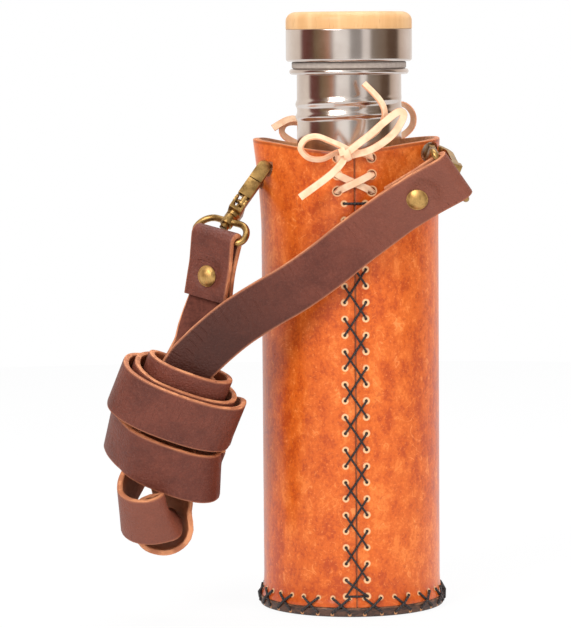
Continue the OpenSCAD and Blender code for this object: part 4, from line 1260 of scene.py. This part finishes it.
RISE_RUN = (
    ((-1, 1.8, -4), (1, 0.1, -0.06)), ((-1, 1.5, 8), (0.99, -0.04, -0.12)),
    ((0.5, 2.3, 18.5), (0.99, -0.08, -0.04)), ((1.5, 5.5, 26), (0.98, -0.12, 0.17)),
    ((1, 12, 32.5), (0.92, -0.25, 0.28)))


def bundle_way(v):
    return v[0] * BUNDLE_RIGHT + v[1] * BUNDLE_BACK + v[2] * BUNDLE_UP


def in_bundle(v):
    return BUNDLE_MIDDLE + bundle_way(v)


def value_at(angle, stops):
    """The value at an angle, on straight lines between stops."""
    for (a, low), (b, high) in zip(stops, stops[1:]):
        if angle <= b:
            return low + (high - low) * max(0, angle - a) / (b - a)
    return stops[-1][1]


def full(s):
    """Makes a turn fuller at its corners than an ellipse."""
    return math.copysign(abs(s) ** TURN_FULLNESS, s)


def strap_end(bar, along, out, wide):
    """From the end of the tail, over the bar and back past the rivet."""
    fold_r = (EYE_WIRE_D + STRAP_GAP + STRAP_T) / 2
    lay = (STRAP_T + STRAP_GAP) / 2
    shares = (27 / 17, 22 / 17, 1, 12 / 17)
    away = (0.6, 0.3, 0, 0)
    knots = [bar + (RIVET_REACH + TAB_TAIL) * along + lay * out]
    knots += [bar + s * RIVET_REACH * along + lay * out for s in shares[1:]]
    knots.append(bar + RIVET_REACH * 0.35 * along + (lay + fold_r) / 2 * out)
    for a in range(90, -91, -30):
        c, s = math.cos(math.radians(a)), math.sin(math.radians(a))
        knots.append(bar - fold_r * c * along + fold_r * s * out)
    knots.append(bar + RIVET_REACH * 0.35 * along - (lay + fold_r) / 2 * out)
    for i in (3, 2, 1, 0):
        knots.append(bar + shares[i] * RIVET_REACH * along - (lay + away[i] * lay / (STRAP_T / 2)) * out)
    return [(k, wide) for k in knots]


def strap_knots():
    turns = []
    for a in range(0, TURN_LAST + 1, TURN_STEP):
        turn = math.radians(a)
        at = (value_at(a, TURN_SHIFT) + value_at(a, TURN_WIDE) * full(math.cos(turn)),
              value_at(a, TURN_DEEP) * full(math.sin(turn)), value_at(a, TURN_HEIGHT))
        turns.append((in_bundle(at), BUNDLE_UP - Vector((value_at(a, TURN_LEAN), 0, 0))))
    led = [[(in_bundle(p), bundle_way(w)) for p, w in run] for run in (DROP_RUN, RISE_RUN)]
    plain = [[(Vector(p), Vector(w)) for p, w in run] for run in (FRONT_RUN, LOOP_RUN)]
    return strap_end(RIGHT_BAR, RIGHT_STRAP_DIR, RIGHT_STRAP_OUT, RIGHT_BAR_DIR) \
        + plain[0] + led[0] + turns + plain[1] + led[1] \
        + strap_end(LEFT_BAR, LEFT_STRAP_DIR, LEFT_STRAP_OUT, LEFT_BAR_DIR)[::-1]


# Look of each face round half of the section: 1 the flesh side, 2 the cut edge, 0 the grain side
STRAP_SLOTS = [1, 1, 2, 2, 2, 2, 2, 0, 0, 0]


def strap_section():
    """Pairs, aside and outwards, from the middle of the flesh side round over the grain side."""
    a = sizes().strap_width / 2
    b = sizes().strap_thickness / 2
    r = STRAP_EDGE_ROUND * MM
    half = [(0, -b), (a * 0.5, -b), (a - r, -b * 0.98), (a - 0.25 * r, -b + 0.3 * r), (a, -b + r),
            (a + 0.04 * r, 0), (a, b - r), (a - 0.3 * r, b - 0.2 * r), (a - 1.3 * r, b),
            (a * 0.55, b), (0, b)]
    return half + [(-x, y) for x, y in reversed(half[1:-1])]


class CARRIER_OT_strap(bpy.types.Operator):
    """Model the wound shoulder strap as one band with a grain side, a flesh side and cut edges"""
    bl_idname = "carrier.strap"
    bl_label = "Shoulder strap"
    steps: bpy.props.IntProperty(name="Steps", description="Steps between two knots", default=4, min=2)

    def execute(self, context):
        knots = strap_knots()
        line = [p * MM for p in smooth_line([k[0] for k in knots], self.steps)]
        wide = smooth_line([k[1] for k in knots], self.steps)
        section = strap_section()
        sides = []
        for i, width_way in enumerate(wide):
            side = across_of(width_way, tangent(line, i))
            sides.append((side, tangent(line, i).cross(side)))
        piece = swept("shoulder_strap_band", line, sides, section, [x for x, y in section] + [0],
                      ["strap", "suede", "strap_cut"], STRAP_SLOTS + STRAP_SLOTS[::-1], 50)
        worn(piece, "sleeve", "shoulder_strap")
        return {"FINISHED"}


# Hardware

class CARRIER_OT_snaps(bpy.types.Operator):
    """Round the edges of the eyes, hooks and gates, and finish their pins and springs"""
    bl_idname = "carrier.snaps"
    bl_label = "Snaps"

    def execute(self, context):
        for side in ("left", "right"):
            refined(side + "_eye", "sleeve", 0.15)
            refined(side + "_hook", side + "_snap", 0.95)
            refined(side + "_gate", side + "_snap_gate", 0.85)
            refined(side + "_gate_pin", side + "_snap", 0.2, 40)
            dress(side + "_gate_spring", "spring")
        return {"FINISHED"}


def rivet_profile():
    """A set rivet: a post between two domed caps."""
    seat = (STRAP_T + STRAP_GAP) / 2 + STRAP_T / 2 + REST_GAP / 6
    cap_r, cap_h, post_r, lip = 4.7, 2.2, 1.5, 0.2
    dome_r = (cap_r ** 2 + cap_h ** 2) / (2 * cap_h)
    middle = seat + cap_h - dome_r
    low = math.degrees(math.asin((seat + 0.35 - middle) / dome_r))
    dome = arc(0, middle, dome_r, low, 90, 14)
    upper = [(post_r, seat), (cap_r - 0.25, seat)] + arc(cap_r - lip, seat + lip, lip, -90, 60, 4) + dome
    return [(r, -z) for r, z in reversed(upper)] + upper


class CARRIER_OT_rivets(bpy.types.Operator):
    """Turn the double-capped rivets of the two strap ends"""
    bl_idname = "carrier.rivets"
    bl_label = "Rivets"

    def execute(self, context):
        for side, bar, along, wide in (("left", LEFT_BAR, LEFT_STRAP_DIR, LEFT_BAR_DIR),
                                       ("right", RIGHT_BAR, RIGHT_STRAP_DIR, RIGHT_BAR_DIR)):
            piece = lathe(side + "_rivet_cap", rivet_profile(), ["cap_brass"], 64)
            turned = Matrix((wide, along, wide.cross(along))).transposed().to_4x4()
            piece.data.transform(Matrix.Translation((bar + RIVET_REACH * along) * MM) @ turned)
            worn(piece, "sleeve", side + "_rivet")
        return {"FINISHED"}


# Bottle and cap

def neck_ridge(turn, radius, height):
    """The rolled thread: a ridge that climbs one pitch a turn and runs out at both ends."""
    if radius != NECK_R:
        return 0
    foot = BOTTLE_FOOT + BOTTLE_H - NECK_THREAD_DROP
    climb = height - foot - NECK_PITCH * turn / (2 * math.pi)
    nearest = min(max(round(climb / NECK_PITCH), 0), 1)
    away = abs(climb - nearest * NECK_PITCH)
    from_end = (turn, 2 * math.pi - turn)[nearest]
    rise = 0.5 + 0.5 * math.cos(min(1, away / (NECK_THREAD_W / 2)) * math.pi)
    return 0.8 * NECK_THREAD_T * min(1, from_end / NECK_RUN_OUT) * rise


def bottle_profile():
    """The bottle's wall: up its outside, over the bead of its rim and down its inside."""
    foot = BOTTLE_FOOT
    rise = SHOULDER_TOP - SHOULDER_START
    foot_round = 4
    shoulder_steps = 13
    neck_steps = 72
    outer = [(0, foot)] + arc(BOTTLE_R - foot_round, foot + foot_round, foot_round, -90, 0, 6)
    outer += [(BOTTLE_R, foot + h) for h in range(20, SHOULDER_START, 24)]
    for i in range(shoulder_steps):
        a = math.radians(90 * i / shoulder_steps)
        outer.append((NECK_R + (BOTTLE_R - NECK_R) * math.cos(a), foot + SHOULDER_START + rise * math.sin(a)))
    bead_z = foot + BOTTLE_H - BEAD_R
    neck_low = foot + SHOULDER_TOP
    neck_high = bead_z - BEAD_R
    neck = [(NECK_R, neck_low + (neck_high - neck_low) * i / neck_steps) for i in range(neck_steps + 1)]
    bead = [(NECK_R + 0.6, neck_high)] + arc(RIM_R - BEAD_R, bead_z, BEAD_R, -90, 90, 10)
    inner = [(NECK_R - BOTTLE_WALL, bead_z + BEAD_R), (NECK_R - BOTTLE_WALL, neck_low)]
    inner += [(x - BOTTLE_WALL, z) for x, z in reversed(outer[1:]) if z > foot + foot_round]
    inner.append((0, foot + BOTTLE_WALL))
    return outer + neck + bead + inner


def gasket_profile():
    """A ring with a plain bore and its outer edges rounded."""
    round_by = 0.7
    low, high = GASKET_Z, GASKET_Z + GASKET_T
    return [(GASKET_BORE, low)] + arc(GASKET_R - round_by, low + round_by, round_by, -90, 0, 4) \
        + arc(GASKET_R - round_by, high - round_by, round_by, 0, 90, 4) \
        + [(GASKET_BORE, high), (GASKET_BORE, low)]


def cap_shell_profile():
    """A steel cup upside down, with its foot rolled inwards."""
    top = CAP_SHELL_TOP
    lip, roll, edge = 0.4, 1.4, 0.35
    inside = CAP_R - CAP_WALL
    return [(inside, CAP_Z + lip)] + arc(CAP_R - roll, CAP_Z + roll, roll, -75, 0, 6) \
        + [(CAP_R, CAP_Z + 4), (CAP_R, top - 0.5)] + arc(CAP_R - edge, top - edge, edge, 0, 90, 3) \
        + [(0, top), (0, top - CAP_WALL), (inside, top - CAP_WALL), (inside, CAP_Z + lip)]


def cap_disc_profile():
    """The bamboo disc, with a rounded shoulder up to its flat top."""
    low, high = CAP_SHELL_TOP, CAP_SHELL_TOP + CAP_WOOD_H
    crown = [(CAP_R - CAP_WOOD_ROUND + x, high - CAP_WOOD_RISE * (1 - z / CAP_WOOD_ROUND))
             for x, z in arc(0, 0, CAP_WOOD_ROUND, 0, 90, 10)]
    return [(0, low), (CAP_R - 0.5, low)] + arc(CAP_R - 0.25, low + 0.25, 0.25, -90, 0, 2) \
        + [(CAP_R, low + 2)] + crown + [(20, high), (8, high), (0, high)]


class CARRIER_OT_bottle(bpy.types.Operator):
    """Turn the bottle with its helical neck thread, its gasket and its cap"""
    bl_idname = "carrier.bottle"
    bl_label = "Bottle and cap"

    def execute(self, context):
        piece = lathe("bottle_body_steel", bottle_profile(), ["steel"], ridge=neck_ridge)
        worn(piece, "bottle", "bottle_body")
        piece = lathe("cap_gasket_ring", gasket_profile(), ["rubber"], 128)
        worn(piece, "gasket", "cap_gasket")
        piece = lathe("cap_shell_steel", cap_shell_profile(), ["steel"])
        worn(piece, "cap", "cap_shell")
        piece = lathe("cap_disc_bamboo", cap_disc_profile(), ["bamboo"])
        worn(piece, "cap", "cap_disc")
        dress("cap_plug", "plastic")
        return {"FINISHED"}


# Stage

ROOM = (
    (0.0, paint(250, 246, 242)), (0.215, paint(246, 236, 226)), (0.235, paint(120, 70, 64)),
    (0.300, paint(104, 66, 56)), (0.318, paint(126, 106, 80)), (0.372, paint(150, 112, 84)),
    (0.392, paint(186, 128, 98)), (0.412, paint(168, 160, 154)), (0.425, (1.0, 0.98, 0.96)),
    (0.494, (1.0, 0.99, 0.97)), (0.508, paint(172, 170, 168)), (0.560, paint(166, 162, 160)),
    (0.568, (1.0, 0.98, 0.96)), (0.600, (1.0, 0.98, 0.96)), (0.612, paint(150, 140, 130)),
    (0.690, paint(136, 118, 102)), (0.712, paint(104, 82, 66)), (0.770, paint(96, 76, 62)),
    (0.792, paint(214, 196, 180)), (0.85, paint(240, 228, 220)), (1.0, paint(250, 246, 242)))


def room_world():
    """White for the camera, plain light for the surfaces, and a room for what is mirrored."""
    world = bpy.data.worlds.new("plain_room")
    bpy.context.scene.world = world
    r = Recipe(world)
    x, y, z = r.parts(r.node("ShaderNodeTexCoord", out="Generated"))
    turn = r.node("ShaderNodeMath", {"operation": "ARCTAN2"}, {0: x, 1: 0 - y})
    share = turn / (2 * math.pi) + 0.5
    room = r.node("ShaderNodeValToRGB", {"stops": ROOM}, {"Fac": share})
    mirrored = r.mix(abs(z).between(0.55, 0.9), room, (0.86, 0.85, 0.84))
    camera, glossy, clear = r.rays()
    colour = r.mix(glossy.over(clear), (0.92, 0.93, 0.95), mirrored)
    colour = r.mix(camera, colour, (1, 1, 1))
    strength = r.mix(camera.over(glossy).over(clear), (0.62, 0.62, 0.62), (1, 1, 1))
    light = r.node("ShaderNodeBackground", sockets={"Color": colour, "Strength": r.parts(strength)[0]})
    r.node("ShaderNodeOutputWorld", sockets={"Surface": light})


def area_light(name, place, target, extent, power, colour):
    """A soft lamp that looks at its target. Its places and its extent are in metres."""
    data = bpy.data.lights.new(name, "AREA")
    data.shape = "RECTANGLE"
    data.size, data.size_y = extent
    data.energy = power
    data.color = colour
    lamp = bpy.data.objects.new(name, data)
    bpy.context.scene.collection.objects.link(lamp)
    lamp.location = place
    lamp.rotation_euler = (Vector(target) - Vector(place)).to_track_quat("-Z", "Y").to_euler()
    return lamp


def studio_floor():
    """A white floor that keeps the object's shadow."""
    only(None)
    bpy.ops.mesh.primitive_circle_add(vertices=96, radius=FLOOR_R * MM, fill_type="NGON",
                                      location=(0, 0, -FLOOR_DROP * MM))
    floor = bpy.context.object
    floor.name = "studio_floor"
    bpy.ops.object.transform_apply(location=True, rotation=True, scale=True)
    material, r = new_recipe("studio_floor_white")
    camera, glossy, clear = r.rays()
    matt = r.node("ShaderNodeBsdfDiffuse", sockets={"Color": (0.86, 0.86, 0.86, 1)})
    glow = r.node("ShaderNodeEmission", sockets={"Color": (1, 1, 1, 1), "Strength": 1.0})
    # What is left of the matt floor keeps the shadow
    lit = r.node("ShaderNodeMixShader",
                 sockets={0: camera.over(glossy).over(clear) * 0.92, 1: matt, 2: glow})
    r.node("ShaderNodeOutputMaterial", sockets={"Surface": lit})
    floor.data.materials.append(material)


def photo_camera():
    lens = bpy.data.cameras.new("photo_camera")
    lens.sensor_width = SENSOR_W
    lens.lens = FOCAL_PIXELS / LONG_SIDE_PIXELS * SENSOR_W
    lens.clip_end = 50
    camera = bpy.data.objects.new("photo_camera", lens)
    bpy.context.scene.collection.objects.link(camera)
    camera.matrix_world = Matrix.Translation(CAMERA_PLACE * MM) \
        @ Matrix.Rotation(math.pi / 2 - CAMERA_DIP, 4, "X") @ Matrix.Rotation(-CAMERA_ROLL, 4, "Z")
    bpy.context.scene.camera = camera


class CARRIER_OT_stage(bpy.types.Operator):
    """Set up the floor, the soft studio light and the camera of the photograph"""
    bl_idname = "carrier.stage"
    bl_label = "Stage"

    def execute(self, context):
        context.scene.view_settings.view_transform = "Standard"
        room_world()
        studio_floor()
        area_light("key_light", (-0.75, -1.15, 1.0), (0, 0, 0.12), (0.7, 0.9), 17, (1, 0.98, 0.95))
        fill = area_light("fill_light", (1.1, -0.9, 0.6), (0, 0, 0.12), (0.8, 0.9), 8, (1, 0.98, 0.96))
        # It stands where the steel would mirror it
        fill.visible_glossy = False
        area_light("top_light", (0.1, 0.25, 1.3), (0, 0, 0.15), (0.9, 0.9), 9, (1, 1, 1))
        photo_camera()
        return {"FINISHED"}


class CARRIER_PT_panel(bpy.types.Panel):
    """Pieces of the carrier in the order of their making"""
    bl_label = "Bottle carrier"
    bl_idname = "CARRIER_PT_panel"
    bl_space_type = "VIEW_3D"
    bl_region_type = "UI"
    bl_category = "Carrier"

    def draw(self, context):
        layout = self.layout
        for step in STEPS:
            layout.operator(step.bl_idname)
        for group in (context.scene.carrier_sizes, context.scene.carrier_colours):
            box = layout.box()
            for key in group.bl_rna.properties.keys():
                if key not in ("rna_type", "name"):
                    box.prop(group, key)


STEPS = (CARRIER_OT_stage, CARRIER_OT_panels, CARRIER_OT_base, CARRIER_OT_threads,
         CARRIER_OT_laces, CARRIER_OT_strap, CARRIER_OT_snaps, CARRIER_OT_rivets, CARRIER_OT_bottle)
CLASSES = (CarrierSizes, CarrierColours) + STEPS + (CARRIER_PT_panel,)


def register():
    for kind in CLASSES:
        bpy.utils.register_class(kind)
    bpy.types.Scene.carrier_sizes = bpy.props.PointerProperty(type=CarrierSizes)
    bpy.types.Scene.carrier_colours = bpy.props.PointerProperty(type=CarrierColours)


def unregister():
    del bpy.types.Scene.carrier_colours
    del bpy.types.Scene.carrier_sizes
    for kind in reversed(CLASSES):
        bpy.utils.unregister_class(kind)


def main():
    register()
    bpy.ops.carrier.stage()
    bpy.ops.carrier.panels()
    bpy.ops.carrier.base()
    bpy.ops.carrier.threads()
    bpy.ops.carrier.laces()
    bpy.ops.carrier.strap()
    bpy.ops.carrier.snaps()
    bpy.ops.carrier.rivets()
    bpy.ops.carrier.bottle()
    bpy.context.view_layer.update()


if __name__ == "__main__":
    main()
